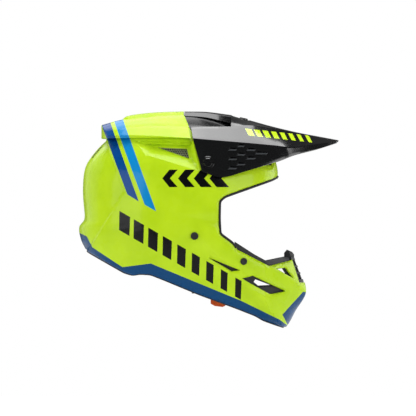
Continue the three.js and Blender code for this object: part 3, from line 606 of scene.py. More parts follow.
for name, stations, floor in (("crown_plate", PLATE_STATIONS, 62), ("crown_ridge", CREST_STATIONS, 84)):
    piece = bevelled(block(name, stations, 40, 3, floor, painted), 1.1, 3)
    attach(piece, "shell")

# ---- Peak -------------------------------------------------------------------------------------------
# The peak is one folded sheet of glossy black nylon, slotted at the sides, held by a screw at each side
# and one in a slot in the middle, so that it can be tilted down and would shear off in a fall.

PEAK_THICKNESS = 2.6
PEAK_STATIONS = [
    [(14, 0, 98.8), (14, 30, 97.6), (16.5, 76, 78.5), (19.5, 99, 61.8), (33.3, 118.5, 12.5)],
    [(44, 0, 98.8), (44, 30, 97.2), (44, 75, 79), (44, 98, 59.7), (63, 116.5, 4)],
    [(74, 0, 98.2), (74, 24, 95), (74, 70, 79.6), (74, 95.5, 57.2), (95, 108, 12)],
    [(100, 0, 91.4), (101, 17, 88.4), (103, 63, 81.6), (106, 90.5, 54.6), (124, 99.5, 20.9)],
    [(136, 0, 81.4), (137, 11, 78.6), (139, 50, 77.6), (142, 84, 51.4), (154, 88, 31)],
    [(176, 0, 71.8), (176, 8, 71.2), (173, 36, 71.4), (169.3, 77, 49), (176, 77, 39.2)],
    [(212, 0, 65), (211.5, 6, 64.8), (209, 19, 64.4), (206, 46, 53.8), (209, 45.5, 47.2)],
    [(238.5, 0, 60), (238.4, 3, 59.9), (237.6, 7, 59.4), (236.4, 10, 58.4), (236, 10, 55.6)],
]
LOUVRES = [
    (78.5, 46.8, 12), (78.5, 32.7, 12), (78.5, 19, 12), (91, 52.2, 10), (91, 39.5, 12), (91, 24.8, 12),
    (106, 46.4, 13), (106, 33.8, 13), (121.5, 41.2, 18),
]
LOUVRE_HEIGHT = 2.6
CENTRE_SLOPE = math.radians(14.65)
SLOT_LENGTH = 12.0


def prism_arrays(outline, y_from, y_to):
    """An outline in the side view carried along Y: its two ends and a side for each of its edges."""
    points = np.asarray(outline, float)
    count = len(points)
    area = np.sum(points[:, 0] * np.roll(points[:, 1], -1) - np.roll(points[:, 0], -1) * points[:, 1])
    if area < 0:
        points = points[::-1]
    ends = [np.stack([points[:, 0], np.full(count, float(y)), points[:, 1]], axis=1) for y in (y_from, y_to)]
    index = np.arange(count)
    after = (index + 1) % count
    sides = np.stack([index, index + count, after + count, after], axis=1)
    return np.concatenate(ends), [index.tolist(), (index[::-1] + count).tolist(), *sides.tolist()]


def joined(parts):
    """Several (points, faces) as one."""
    points, faces, first = [], [], 0
    for some, sides in parts:
        points.append(np.asarray(some, float))
        faces += [[int(v) + first for v in side] for side in sides]
        first += len(some)
    return np.concatenate(points), faces


def carved(piece, arrays, operation="DIFFERENCE"):
    """A piece with another solid taken away, added or kept, its result applied to the mesh."""
    tool = new_piece("tool", *arrays)
    step = piece.modifiers.new("carve", "BOOLEAN")
    step.object, step.operation, step.solver = tool, operation, "MANIFOLD"
    done = bpy.data.meshes.new_from_object(piece.evaluated_get(bpy.context.evaluated_depsgraph_get()))
    old, name = piece.data, piece.data.name
    piece.modifiers.clear()
    piece.data = done
    bpy.data.meshes.remove(old)
    done.name = name
    bpy.data.objects.remove(tool)
    return piece


def applied(piece):
    """A piece with its modifiers worked into its mesh."""
    done = bpy.data.meshes.new_from_object(piece.evaluated_get(bpy.context.evaluated_depsgraph_get()))
    old, name = piece.data, piece.data.name
    piece.modifiers.clear()
    piece.data = done
    bpy.data.meshes.remove(old)
    done.name = name


def turned_arrays(profile, at, out, sides=48):
    """A body of revolution: a profile of (radius, height) carried round an axis that starts at a point."""
    profile = np.asarray(profile, float)
    angle = np.linspace(0, 2 * math.pi, sides, endpoint=False)
    out = np.asarray(out, float) / np.linalg.norm(out)
    across = np.cross(out, [0.0, 0.0, 1.0] if abs(out[2]) < 0.8 else [1.0, 0.0, 0.0])
    across /= np.linalg.norm(across)
    round_to = np.cross(out, across)
    ring = np.cos(angle)[:, None] * across + np.sin(angle)[:, None] * round_to
    inner = profile[1:-1]
    points = np.asarray(at, float) + inner[:, 0, None, None] * ring + inner[:, 1, None, None] * out
    count = len(inner) * sides
    tips = [np.asarray(at, float) + profile[k, 1] * out for k in (0, -1)]
    faces = grid_faces(len(inner), sides, around=True).tolist()
    index = np.arange(sides)
    after = (index + 1) % sides
    faces += np.stack([np.full(sides, count), after, index], axis=1).tolist()
    last = count - sides
    faces += np.stack([np.full(sides, count + 1), last + index, last + after], axis=1).tolist()
    points = np.concatenate([points.reshape(-1, 3), tips])
    corner = points[faces[len(faces) // 2][:3]]
    normal = np.cross(corner[1] - corner[0], corner[2] - corner[0])
    return points, faces


def middle_of(node_name):
    """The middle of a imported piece, in millimetres."""
    low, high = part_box(node_name)
    return np.array([(a + b) / 2 for a, b in zip(low, high)]) / MM


def gloss_black(name, tone):
    """Glossy moulded nylon: one tone with faint flow waves, and a row of bars printed along each side."""
    finish, tree, shader, coords = new_finish(
        name,
        **{"IOR": 1.5, "Coat Weight": 0.25, "Coat Roughness": 0.05, "Coat IOR": 1.5},
    )
    wave = node(tree, "TexNoise", {"Vector": coords, "Scale": 0.05, "Detail": 4.0}).outputs["Fac"]
    span = {"From Min": 0.3, "From Max": 0.75, "To Min": 0.1, "To Max": 0.2}
    rough = node(tree, "MapRange", {"Value": wave, **span})
    tree.links.new(rough.outputs["Result"], shader.inputs["Roughness"])
    bars = bars_mask(tree, coords, (100, 71.5), (203, 60.5), 10, 8, 0.5)
    facing = node(tree, "SeparateXYZ", {"Vector": node(tree, "TexCoord").outputs["Normal"]}).outputs["Z"]
    upper = node(tree, "Math", {0: facing, 1: 0.05}, operation="GREATER_THAN").outputs[0]
    bars = combined(tree, "MULTIPLY", [bars, upper])
    colour = laid_over(tree, linear(tone), linear("#c4e41f"), bars)
    tree.links.new(colour, shader.inputs["Base Color"])
    grain = node(tree, "TexNoise", {"Vector": coords, "Scale": 0.5, "Detail": 3.0}).outputs["Fac"]
    bump = node(tree, "Bump", {"Height": grain, "Strength": 0.05, "Distance": 0.0003}).outputs["Normal"]
    tree.links.new(bump, shader.inputs["Normal"])
    return finish


def make_peak():
    """The lofted sheet and its inner face, with the scoop's bay, the slots and the screw holes cut out."""
    outer = both_sides(lofted(PEAK_STATIONS, 90, 5))
    inner = outer - grid_normals(outer) * PEAK_THICKNESS
    points = np.concatenate([outer.reshape(-1, 3), inner.reshape(-1, 3)])
    peak = new_piece("peak_sheet", points, slab_faces(*outer.shape[:2]), black_nylon)
    applied(bevelled(peak, 0.6, 3, 20))
    bays = [prism_arrays([(-20, 40), (-20, 140), (76.6, 140), (76.6, 78.6), (16, 75.5), (16, 40)], -62, 62),
            prism_arrays([(-20, 79.6), (-20, 140), (76.6, 140), (76.6, 79.6)], -80, 80)]
    for bay in bays:
        carved(peak, bay)
    cuts = []
    for x, z, length in LOUVRES:
        half, rise = length / 2, LOUVRE_HEIGHT / 2
        slot = [(x - half, z - rise), (x + half - 2.5, z - rise)]
        slot += [(x + half, z + rise * 0.2), (x - half + 3, z + rise)]
        cuts += [prism_arrays(slot, -140, -40), prism_arrays(slot, 40, 140)]
    carved(peak, joined(cuts))
    for side in (-1, 1):
        hole = middle_of("peak_side_screw_right") * [1, 0, 1]
        boss = [(0, 106), (9.5, 106), (9.5, 114.2), (8.7, 115), (0, 115)]
        carved(peak, turned_arrays(boss, hole, (0, side, 0)), "UNION")
        carved(peak, turned_arrays([(0, 90), (3.4, 90), (3.4, 130), (0, 130)], hole, (0, side, 0)))
    out = np.array([math.sin(CENTRE_SLOPE), 0, math.cos(CENTRE_SLOPE)])
    forward = np.array([out[2], 0, -out[0]])
    for back in np.linspace(-1, SLOT_LENGTH - 1, 5):
        at = np.array([96, 0, 92.6]) - forward * back
        carved(peak, turned_arrays([(0, -30), (3.4, -30), (3.4, 30), (0, 30)], at, out, 24))
        carved(peak, turned_arrays([(0, -1.3), (8, -1.3), (8, 30), (0, 30)], at, out, 40))
    smoothed(peak, 24)
    return peak


def make_fins():
    """A raised fin under each slot: a thin layer over the peak's surface, kept inside the fins' outlines. Its
    nylon is a lighter grey than the peak's, a painted highlight along each louvre.
    """
    outer = both_sides(lofted(PEAK_STATIONS, 90, 5))
    normals = grid_normals(outer)
    points = np.concatenate([(outer + normals * 1.8).reshape(-1, 3), (outer - normals * 0.8).reshape(-1, 3)])
    fins = new_piece("peak_fins", points, slab_faces(*outer.shape[:2]), fin_painted_highlight_nylon)
    outlines = []
    for x, z, length in LOUVRES:
        half, low = length / 2 + 1, z - LOUVRE_HEIGHT / 2
        fin = [(x - half + 3, low), (x - half, low - 2.2), (x + half - 3, low - 2.2), (x + half, low)]
        outlines += [prism_arrays(fin, -140, -40), prism_arrays(fin, 40, 140)]
    carved(fins, joined(outlines), "INTERSECT")
    smoothed(fins, 24)
    return bevelled(fins, 1.0, 1, 40)


def make_backing():
    """A dark sheet close under the slots, so that they read as shallow louvres."""
    outer = both_sides(lofted(PEAK_STATIONS, 60, 5))
    normals = grid_normals(outer)
    points = np.concatenate([(outer - normals * 2.4).reshape(-1, 3), (outer - normals * 3.4).reshape(-1, 3)])
    backing = new_piece("peak_backing", points, slab_faces(*outer.shape[:2]), black_nylon)
    zone = [(68, 56), (68, 14), (96, 17), (134, 36), (134, 46), (100, 57)]
    carved(backing, joined([prism_arrays(zone, -140, -40), prism_arrays(zone, 40, 140)]), "INTERSECT")
    return backing


black_nylon = gloss_black("gloss_black_nylon", "#0a0b0c")
# The fins' nylon is a lighter grey than the peak's: a painted highlight where the louvres catch the light
# from above.
fin_painted_highlight_nylon = gloss_black("black_nylon_painted_highlight", "#3a3d3f")
for piece in (make_fins(), make_backing()):
    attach(piece, "peak")
peak = make_peak()
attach(peak, "peak")
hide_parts("peak")

# ---- Crown scoop ------------------------------------------------------------------------------------
# The scoop is an upturned channel clipped on the front of the crown, in the same glossy black as the peak,
# with a thin fin each side of its mouth.

SCOOP_STATIONS = [
    [(6.6, 0, 103.2), (6.6, 24, 101.6), (6.6, 29, 96.2)],
    [(40, 0, 102.6), (40, 25, 100.4), (40, 31, 93.6)],
    [(76.6, 0, 98.0), (76.6, 26, 94.9), (76.6, 32, 84.8)],
]
scoop_top = both_sides(lofted(SCOOP_STATIONS, 30, 4))
scoop_under = scoop_top - grid_normals(scoop_top) * 2.8
scoop = new_piece(
    "crown_scoop_channel",
    np.concatenate([scoop_top.reshape(-1, 3), scoop_under.reshape(-1, 3)]),
    slab_faces(*scoop_top.shape[:2]), black_nylon,
)
bevelled(scoop, 0.6, 3)
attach(scoop, "shell")
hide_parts("crown_scoop")

# ---- Beads ------------------------------------------------------------------------------------------
# Extruded soft rubber is glued over the raw edge of the shell: a U section with a thick outer lip. One
# runs round the neck opening and one round the eye port.


def swept(path, section, closed, up=(0.0, 1.0, 0.0)):
    """A section of (out, along up) carried along a path, turned so that its first axis is square to both."""
    path = np.asarray(path, float)
    if closed:
        along = np.roll(path, -1, axis=0) - np.roll(path, 1, axis=0)
    else:
        along = np.gradient(path, axis=0)
    along /= np.linalg.norm(along, axis=1, keepdims=True)
    out = np.cross(along, np.asarray(up, float) if np.ndim(up) == 1 else up)
    out /= np.maximum(np.linalg.norm(out, axis=1, keepdims=True), 1e-9)
    rise = np.cross(out, along)
    section = np.asarray(section, float)
    points = path[:, None] + section[:, :1] * out[:, None] + section[:, 1:] * rise[:, None]
    rows, columns = len(path), len(section)
    if closed:
        points = np.concatenate([points, points[:1]])
    faces = grid_faces(rows + closed, columns, around=True)
    if closed:
        faces = np.where(faces >= rows * columns, faces - rows * columns, faces)
        return points[:-1].reshape(-1, 3), faces.tolist()
    caps = [list(range(columns))[::-1], list(range((rows - 1) * columns, rows * columns))]
    return points.reshape(-1, 3), [*faces.tolist(), *caps]


def edge_path(outline_run, offset, spacing=3.0):
    """An edge of the shell in the side view, lifted to the form on the right."""
    run = spaced(outline_run, spacing, closed=False)
    degrees, share = bearing_of(run[:, 0], run[:, 1], offset)
    run = run[share < 0.9995]
    side = side_at(run[:, 0], run[:, 1], offset)
    return np.stack([run[:, 0], -side, run[:, 1]], axis=1)


def softened(path, times=2):
    """A path with its inner points averaged with their neighbours."""
    for _ in range(times):
        path[1:-1] = (path[:-2] + 2 * path[1:-1] + path[2:]) / 4
    return path


def resampled(path, spacing):
    """A path with points at an even spacing."""
    length = np.concatenate([[0], np.cumsum(np.linalg.norm(np.diff(path, axis=0), axis=1))])
    even = np.linspace(0, length[-1], max(3, int(length[-1] / spacing)))
    return np.stack([np.interp(even, length, path[:, k]) for k in range(3)], axis=1)


def round_section(width, height, power=2.6, count=14):
    """A rounded section: a superellipse of a width and a height."""
    angle = np.linspace(0, 2 * math.pi, count, endpoint=False)
    c, s = np.cos(angle), np.sin(angle)
    return np.stack([width / 2 * np.sign(c) * np.abs(c) ** (2 / power),
                     height / 2 * np.sign(s) * np.abs(s) ** (2 / power)], axis=1)


def bead_rubber():
    """Black EPDM rubber: matt, with fine extrusion dust that only shows in its roughness."""
    finish, tree, shader, coords = new_finish("bead_rubber", **{"IOR": 1.5, "Specular IOR Level": 0.35})
    dust = node(tree, "TexNoise", {"Vector": coords, "Scale": 0.3, "Detail": 6.0}).outputs["Fac"]
    colour = node(tree, "ValToRGB", {"Fac": dust})
    colour.color_ramp.elements[0].color = linear("#0c0c0d")
    colour.color_ramp.elements[1].color = linear("#1c1d1e")
    tree.links.new(colour.outputs["Color"], shader.inputs["Base Color"])
    rough = node(tree, "MapRange", {"Value": dust, "To Min": 0.5, "To Max": 0.75}).outputs["Result"]
    tree.links.new(rough, shader.inputs["Roughness"])
    bump = node(tree, "Bump", {"Height": dust, "Strength": 0.2, "Distance": 0.0002}).outputs["Normal"]
    tree.links.new(bump, shader.inputs["Normal"])
    return finish


rubber = bead_rubber()


def make_bead(name, right, section, node_name):
    """A bead along a path on the right and its mirror image, with its section turned outwards."""
    path = resampled(softened(np.concatenate([right, (right * [1, -1, 1])[::-1]])), 2.5)
    out = path - [20, 0, -60]
    out /= np.linalg.norm(out, axis=1, keepdims=True)
    piece = new_piece(name, *swept(path, section, False, up=out), rubber, crease=50)
    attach(piece, "shell")
    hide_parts(node_name)
    return piece


PORT_RUN = [
    (84, -101), (79.2, -94.4), (60.3, -80.6), (59.1, -57), (59.7, -32), (68.1, -25.1), (138.8, 0), (147, 4.5),
]
PORT_SUNK = -1.5
BROW_Z = 4.5
port_right = edge_path(PORT_RUN, PORT_SUNK)
brow_angle = math.atan2(BROW_Z - EAR[1], 150 - EAR[0])
brow_reach = reach_of(SHELL_PROFILE, np.array(math.degrees(brow_angle)), 1.0, PORT_SUNK)
brow_tip = EAR[0] + brow_reach * math.cos(brow_angle)
way_round = np.sin(np.linspace(0, math.pi / 2, 40)[1:-1])
brow_x = port_right[-1, 0] + (brow_tip - port_right[-1, 0]) * way_round
brow_z = np.full_like(brow_x, BROW_Z)
brow_run = np.stack([brow_x, -side_at(brow_x, brow_z, PORT_SUNK), brow_z], axis=1)
port_path = np.concatenate([port_right, brow_run, [[brow_tip, -0.01, BROW_Z]]])
make_bead("eye_port_rubber", port_path, round_section(3.4, 5.4), "eye_port_bead")

neck_right = edge_path([(x, z + 0.9) for x, z in LOWER_EDGE[::-1]], -2.8)
make_bead("neck_rubber", neck_right, round_section(3.6, 5.2), "lower_edge_bead")

# ---- Mesh and vent inserts --------------------------------------------------------------------------
# Behind the openings sit moulded black inserts and grey plastic mesh, held by the foam behind them.


def form_arrays(centre, profile, offset, width_at, around=120, rings=28):
    """A closed form: rings of points from the right pole to the left one, each at a share of the profile."""
    degrees = np.linspace(0, 360, around, endpoint=False)
    turn = np.linspace(-math.pi / 2, math.pi / 2, 2 * rings + 1)[1:-1]
    share = np.cos(turn)
    a, s = np.meshgrid(degrees, share)
    radius = reach_of(profile, a, s, offset)
    half = width_at(a, s, offset) * -np.sign(turn)[:, None]
    half[rings - 1] = 0
    turn = np.radians(a)
    points = np.stack([centre[0] + radius * np.cos(turn), half, centre[1] + radius * np.sin(turn)], -1)
    pole = width_at(np.zeros(1), np.zeros(1), offset)[0]
    tips = np.array([[centre[0], pole, centre[1]], [centre[0], -pole, centre[1]]])
    count = points.shape[0] * around
    faces = grid_faces(points.shape[0], around, around=True).tolist()
    index = np.arange(around)
    after = (index + 1) % around
    faces += np.stack([np.full(around, count), after, index], axis=1).tolist()
    last = count - around
    faces += np.stack([np.full(around, count + 1), last + index, last + after], axis=1).tolist()
    return np.concatenate([points.reshape(-1, 3), tips]), faces


def shell_form(offset, around=120, rings=28):
    """The shell's closed form at an offset."""
    return form_arrays(EAR, SHELL_PROFILE, offset, half_width, around, rings)


def box_arrays(low, high):
    """A box between two corners."""
    outline = [(low[0], low[2]), (high[0], low[2]), (high[0], high[2]), (low[0], high[2])]
    return prism_arrays(outline, low[1], high[1])


def moulded_black():
    """Matt grey-black polypropylene from a spark-eroded tool, with a pebbled grain of about 0.8 mm."""
    settings = {"IOR": 1.49, "Specular IOR Level": 0.3}
    finish, tree, shader, coords = new_finish("moulded_black_plastic", **settings)
    grain = node(tree, "TexVoronoi", {"Vector": coords, "Scale": 1.2}).outputs["Distance"]
    tone = node(tree, "TexNoise", {"Vector": coords, "Scale": 0.06, "Detail": 5.0}).outputs["Fac"]
    colour = node(tree, "ValToRGB", {"Fac": tone})
    colour.color_ramp.elements[0].color = linear("#151617")
    colour.color_ramp.elements[1].color = linear("#26282a")
    tree.links.new(colour.outputs["Color"], shader.inputs["Base Color"])
    rough = node(tree, "MapRange", {"Value": tone, "To Min": 0.38, "To Max": 0.6}).outputs["Result"]
    tree.links.new(rough, shader.inputs["Roughness"])
    bump = node(tree, "Bump", {"Height": grain, "Strength": 0.25, "Distance": 0.0002}).outputs["Normal"]
    tree.links.new(bump, shader.inputs["Normal"])
    return finish


def vent_mesh_grey():
    """Grey polyamide mesh, satin."""
    finish, tree, shader, coords = new_finish("vent_mesh_plastic", **{"IOR": 1.5, "Roughness": 0.45})
    tone = node(tree, "TexNoise", {"Vector": coords, "Scale": 0.25, "Detail": 4.0}).outputs["Fac"]
    colour = node(tree, "ValToRGB", {"Fac": tone})
    colour.color_ramp.elements[0].color = linear("#6b7058")
    colour.color_ramp.elements[1].color = linear("#868b70")
    tree.links.new(colour.outputs["Color"], shader.inputs["Base Color"])
    return finish


UPPER_THROUGH = [(144.6, -133.9), (152.4, -131.1), (158.4, -141.2)]
plastic = moulded_black()
mesh_grey = vent_mesh_grey()


def layer(name, outer, inner, keep, finish, without=(), around=120, rings=28, crease=30):
    """A piece between two offsets of the shell's form, kept inside one solid and cleared of others."""
    piece = new_piece(name, *shell_form(outer, around, rings), finish)
    for solid in keep:
        carved(piece, solid, "INTERSECT")
    carved(piece, shell_form(inner, around, rings))
    for solid in without:
        carved(piece, solid)
    smoothed(piece, crease)
    return piece


def placed(piece, body, slot, *nodes):
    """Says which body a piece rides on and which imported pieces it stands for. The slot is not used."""
    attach(piece, body)
    if nodes:
        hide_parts(*nodes)
    return piece


def side_range(sign, inner=0.0, outer=400.0):
    """From the middle, or a distance off it, out to one side."""
    return (-outer, -inner) if sign < 0 else (inner, outer)


def hexagons(low_x, high_x, low_z, high_z, pitch, radius, sign):
    """Six-sided rods across one side of the helmet, on a staggered net."""
    rods, row = [], 0
    z = low_z
    turn = np.arange(6) * math.pi / 3
    while z <= high_z:
        x = low_x + (row % 2) * pitch / 2
        while x <= high_x:
            ring = np.stack([x + radius * np.cos(turn), z + radius * np.sin(turn)], axis=1)
            rods.append(prism_arrays(ring, *side_range(sign, 50, 130)))
            x += pitch
        z += pitch * 0.866
        row += 1
    return joined(rods)


for side, sign in (("right", -1), ("left", 1)):
    vent = layer(
        f"side_mesh_{side}", -9.6, -11.4,
        [prism_arrays(inset(SIDE_WINDOW, -2.5), *side_range(sign))], mesh_grey,
    )
    carved(vent, hexagons(-31, 17, 33, 50, 3.4, 1.35, sign))
    smoothed(vent, 25)
    placed(vent, "shell", "grey_mesh", f"side_vent_mesh_{side}")

    low_y, high_y = side_range(sign, 8.5, 29.5)
    room = box_arrays((-220, low_y, 34.6), (-90, high_y, 52.4))
    exhaust = layer(f"rear_vent_{side}", -3.3, -5.6, [room], plastic)
    slats = [box_arrays((-220, low_y + 3, z), (-90, high_y - 3, z + 2.1)) for z in (37.5, 42.2, 46.9)]
    carved(exhaust, joined(slats))
    smoothed(exhaust)
    placed(exhaust, "shell", "black_plastic", f"rear_exhaust_{side}")

    room = prism_arrays(inset(BROW_VENT, -1.2), *side_range(sign))
    brow_insert = layer(f"brow_vent_{side}", -2.4, -4.4, [room], plastic)
    placed(brow_insert, "shell", "black_plastic", f"brow_vent_insert_{side}")

    chin_outline = [
        (39, -111), (64, -119), (94, -131), (113, -137.6), (166, -163.5),
        (166, -168), (134, -175.5), (88, -149.5), (70, -142),
    ]
    through = [(109.6, -152.9), (112.4, -148.3), (138.8, -158.5), (118, -159.8)]
    insert = layer(
        f"chin_duct_{side}", -4.2, -7.4, [prism_arrays(chin_outline, *side_range(sign))], plastic,
        without=[prism_arrays(through, -400, 400)],
    )
    placed(insert, "shell", "black_plastic", f"chin_vent_insert_{side}")

    upper = layer(
        f"chin_upper_duct_{side}", -4.0, -6.4,
        [prism_arrays(inset(CHIN_UPPER_OPENING, -1.6), *side_range(sign))], plastic,
        without=[prism_arrays(UPPER_THROUGH, -400, 400)],
    )
    placed(upper, "shell", "black_plastic")

# ---- Mouthpiece, grille and nose guard ---------------------------------------------------------------
# A soft moulded lip is screwed along the inside of the chin bar. Between its halves sits a barred grille,
# and above that a small rubber guard that keeps stones off the nose.

MOUTHPIECE = [
    (82.4, -93), (112.4, -112.4), (129, -121.4), (156.8, -115.2), (200, -115.2), (200, -124), (163, -131),
    (131, -140.5), (88, -118), (82.4, -114),
]
NOSE_GUARD = [(156.8, -115.3), (156.8, -109.7), (161, -104.7), (168.5, -108), (171.5, -112), (171.5, -115.3)]

for side, sign in (("right", -1), ("left", 1)):
    lip = layer(
        f"mouth_lip_{side}", -3.9, -18, [prism_arrays(MOUTHPIECE, *side_range(sign, 20.9))], plastic,
        without=[prism_arrays(UPPER_THROUGH, -400, 400)],
    )
    bevelled(lip, 0.8, 2, 40)
    placed(lip, "shell", "black_plastic", f"mouthpiece_{side}")

grille = layer("mouth_bars", -1.0, -6.5, [box_arrays((140, -20.6, -153.6), (240, 20.6, -115))], plastic)
windows = []
for low, high in ((-16.5, -9.2), (-6.8, 6.8), (9.2, 16.5)):
    for floor, top in ((-149, -140.7), (-138.3, -130.7), (-128.3, -120)):
        windows.append(box_arrays((130, low, floor), (250, high, top)))
carved(grille, joined(windows))
smoothed(grille, 30)
placed(bevelled(grille, 0.7, 2, 40), "shell", "black_plastic", "mouth_grille")

guard = layer("nose_guard_rubber", 1.4, -14, [prism_arrays(NOSE_GUARD, -26, 26)], rubber)
placed(bevelled(guard, 1.4, 3, 30), "shell", "black_rubber", "nose_guard")

# ---- Screws, rivets and nuts -------------------------------------------------------------------------
# Black nylon buttons with a shallow recess hold the strap, the chin lip and the peak; the peak's screws
# have a coin slot. The nuts and hangers behind them are zinc-plated steel.


def seat_at(x, z, offset=0.0):
    """Place and outward direction of the shell's right side, from the slope of its half width."""
    step = 0.5
    y = float(side_at([x], [z], offset)[0])
    by_x = float((side_at([x + step], [z], offset) - side_at([x - step], [z], offset))[0]) / (2 * step)
    by_z = float((side_at([x], [z + step], offset) - side_at([x], [z - step], offset))[0]) / (2 * step)
    out = np.array([-by_x, -1, -by_z])
    return np.array([x, -y, z]), out / np.linalg.norm(out)


def button(name, at, out, head, height, shank, length, slotted, finish):
    """A turned button: a shank, a head with a rounded rim and a recess, and a coin slot if asked."""
    profile = [(0, -length), (shank, -length), (shank, 0), (head, 0), (head, height * 0.45),
               (head * 0.95, height * 0.78), (head * 0.84, height), (head * 0.6, height),
               (head * 0.55, height * 0.72), (0, height * 0.68)]
    piece = new_piece(name, *turned_arrays(profile, at, out), finish)
    if slotted:
        across = np.cross(out, [0.0, 1.0, 0.0]) if abs(out[1]) < 0.9 else np.array([1.0, 0.0, 0.0])
        other = np.cross(out, across)
        reach, half_slot, floor = head * 1.2, 0.9, height * 0.3
        corners = [(-reach, -half_slot, floor), (reach, -half_slot, floor),
                   (reach, half_slot, floor), (-reach, half_slot, floor)]
        low = [at + across * a + other * b + out * c for a, b, c in corners]
        high = [p + out * height for p in low]
        sides = [[3, 2, 1, 0], [4, 5, 6, 7], [0, 1, 5, 4], [1, 2, 6, 5], [2, 3, 7, 6], [3, 0, 4, 7]]
        carved(piece, (np.array([*low, *high]), sides))
    smoothed(piece, 32)
    return piece


def mirrored(at, out):
    return at * [1, -1, 1], out * [1, -1, 1]


for label, place, head, height, length, node_name in (
    ("strap_button", (22, -83.4), 5.7, 2.2, 7.4, "strap_rivet"),
    ("lip_button", (95, -121.4), 5.2, 2.0, 10, "chin_bar_screw"),
):
    at, out = seat_at(*place)
    at = at + out * 0.4
    for side, (where, way) in (("right", (at, out)), ("left", mirrored(at, out))):
        placed(button(f"{label}_{side}", where, way, head, height, 2.9, length, False, plastic), "shell",
               "black_plastic",
               f"{node_name}_{side}")

pivot = middle_of("peak_side_screw_right")
for side, sign in (("right", -1), ("left", 1)):
    at, out = np.array([pivot[0], 115.3 * sign, pivot[2]]), np.array([0.0, sign, 0.0])
    screw = button(f"peak_screw_{side}", at, out, 7, 3, 2.9, 17, True, black_nylon)
    placed(screw, f"side_screw_{side}", "black_plastic", f"peak_side_screw_{side}")
out = np.array([math.sin(CENTRE_SLOPE), 0, math.cos(CENTRE_SLOPE)])
seat = np.array([96, 0, 92.6]) - out * 1.2
screw = button("peak_screw_centre", seat, out, 6.5, 2.2, 2.9, 26, True, black_nylon)
placed(screw, "centre_screw", "black_plastic", "peak_centre_screw")


def zinc_steel():
    """Pressed steel with bright zinc plating: slightly uneven brightness, and fine handling scratches."""
    finish, tree, shader, coords = new_finish("zinc_plated_steel", **{"Metallic": 1.0})
    tone = node(tree, "TexNoise", {"Vector": coords, "Scale": 0.3, "Detail": 8.0}).outputs["Fac"]
    colour = node(tree, "ValToRGB", {"Fac": tone})
    colour.color_ramp.elements[0].color = linear("#9fa3a8")
    colour.color_ramp.elements[1].color = linear("#c9ccd0")
    tree.links.new(colour.outputs["Color"], shader.inputs["Base Color"])
    rough = node(tree, "MapRange", {"Value": tone, "To Min": 0.2, "To Max": 0.42}).outputs["Result"]
    tree.links.new(rough, shader.inputs["Roughness"])
    return finish


steel = zinc_steel()


def repainted(finish, *nodes):
    """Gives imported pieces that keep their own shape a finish."""
    for name in nodes:
        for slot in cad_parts[name].material_slots:
            slot.material = finish


repainted(steel, "peak_centre_nut")
for side in ("right", "left"):
    repainted(steel, f"peak_side_nut_{side}", f"strap_hanger_{side}")
    repainted(plastic, f"cheek_stud_front_{side}", f"cheek_stud_rear_{side}")

# ---- Impact foam ------------------------------------------------------------------------------------
# Expanded polystyrene, moulded in black beads: one block for the head, one for the chin bar and one behind
# each cheek pad. Its surface shows the beads, about 3 mm across.

HEAD = np.array([0.0, -30.0])
HOLLOW_HALF_WIDTH = 84.0
HOLLOW_PROFILE = np.array([
    [0, 108], [45, 103], [90, 96], [135, 104], [180, 110], [210, 118], [230, 133], [250, 170],
    [270, 230], [290, 220], [310, 180], [330, 140], [345, 118],
], float)
CHEEK = [
    (-30, -64), (50, -64), (51, -86), (76, -103), (82, -128), (78, -174), (54, -164), (50, -142), (4, -139),
    (-20, -133), (-36, -126),
]
CHIN_FOAM = [
    (86, -122), (131, -145), (140, -152), (170, -162), (188, -178), (155, -213), (92, -188.5), (86, -160),
]


def hollow_width(degrees, share, offset):
    """Half width of the hollow for the head: a superellipse over the share."""
    return (HOLLOW_HALF_WIDTH + offset) * np.maximum(0, 1 - share ** 2.3) ** (1 / 2.3)


def hollow_form(offset, around=96, rings=24):
    """The closed form of the hollow for the head, at an offset."""
    return form_arrays(HEAD, HOLLOW_PROFILE, offset, hollow_width, around, rings)


def bead_foam():
    """Moulded polystyrene beads: packed cells with dark joints, slightly shiny skins."""
    finish, tree, shader, coords = new_finish("moulded_bead_foam", **{"IOR": 1.5})
    cells = node(tree, "TexVoronoi", {"Vector": coords, "Scale": 0.33}, feature="DISTANCE_TO_EDGE")
    cells = cells.outputs["Distance"]
    shade = node(tree, "TexVoronoi", {"Vector": coords, "Scale": 0.33}).outputs["Color"]
    grey = node(tree, "RGBToBW", {"Color": shade}).outputs["Val"]
    colour = node(tree, "ValToRGB", {"Fac": grey})
    colour.color_ramp.elements[0].color = linear("#1b1c1e")
    colour.color_ramp.elements[1].color = linear("#2d2f32")
    tree.links.new(colour.outputs["Color"], shader.inputs["Base Color"])
    rough = node(tree, "MapRange", {"Value": grey, "To Min": 0.55, "To Max": 0.8}).outputs["Result"]
    tree.links.new(rough, shader.inputs["Roughness"])
    low = node(tree, "MapRange", {"Value": cells, "From Max": 0.18}).outputs["Result"]
    bump = node(tree, "Bump", {"Height": low, "Strength": 0.5, "Distance": 0.0004}).outputs["Normal"]
    tree.links.new(bump, shader.inputs["Normal"])
    return finish


foam = bead_foam()
below_foam = prism_arrays([(x, z + 5) for x, z in BELOW_SHELL], -400, 400)
jaw_zone = [(-30.2, -63.7), (-36.4, -126), (-36.4, -260), (53, -260), (53, -63.7)]
chin_zone = [(52, -62), (52, -260), (260, -260), (260, -62)]

core = new_piece("head_foam", *shell_form(-WALL - 0.4, 160, 40), foam)
for solid in (hollow_form(0), below_foam, prism_arrays(inset(EYE_PORT, -3), -400, 400),
              prism_arrays(inset(SIDE_POCKET, -4), -400, -80), prism_arrays(inset(SIDE_POCKET, -4), 80, 400),
              prism_arrays(jaw_zone, -400, 400), prism_arrays(chin_zone, -400, 400)):
    carved(core, solid)
smoothed(core)
placed(core, "shell", "foam", "crown_foam")

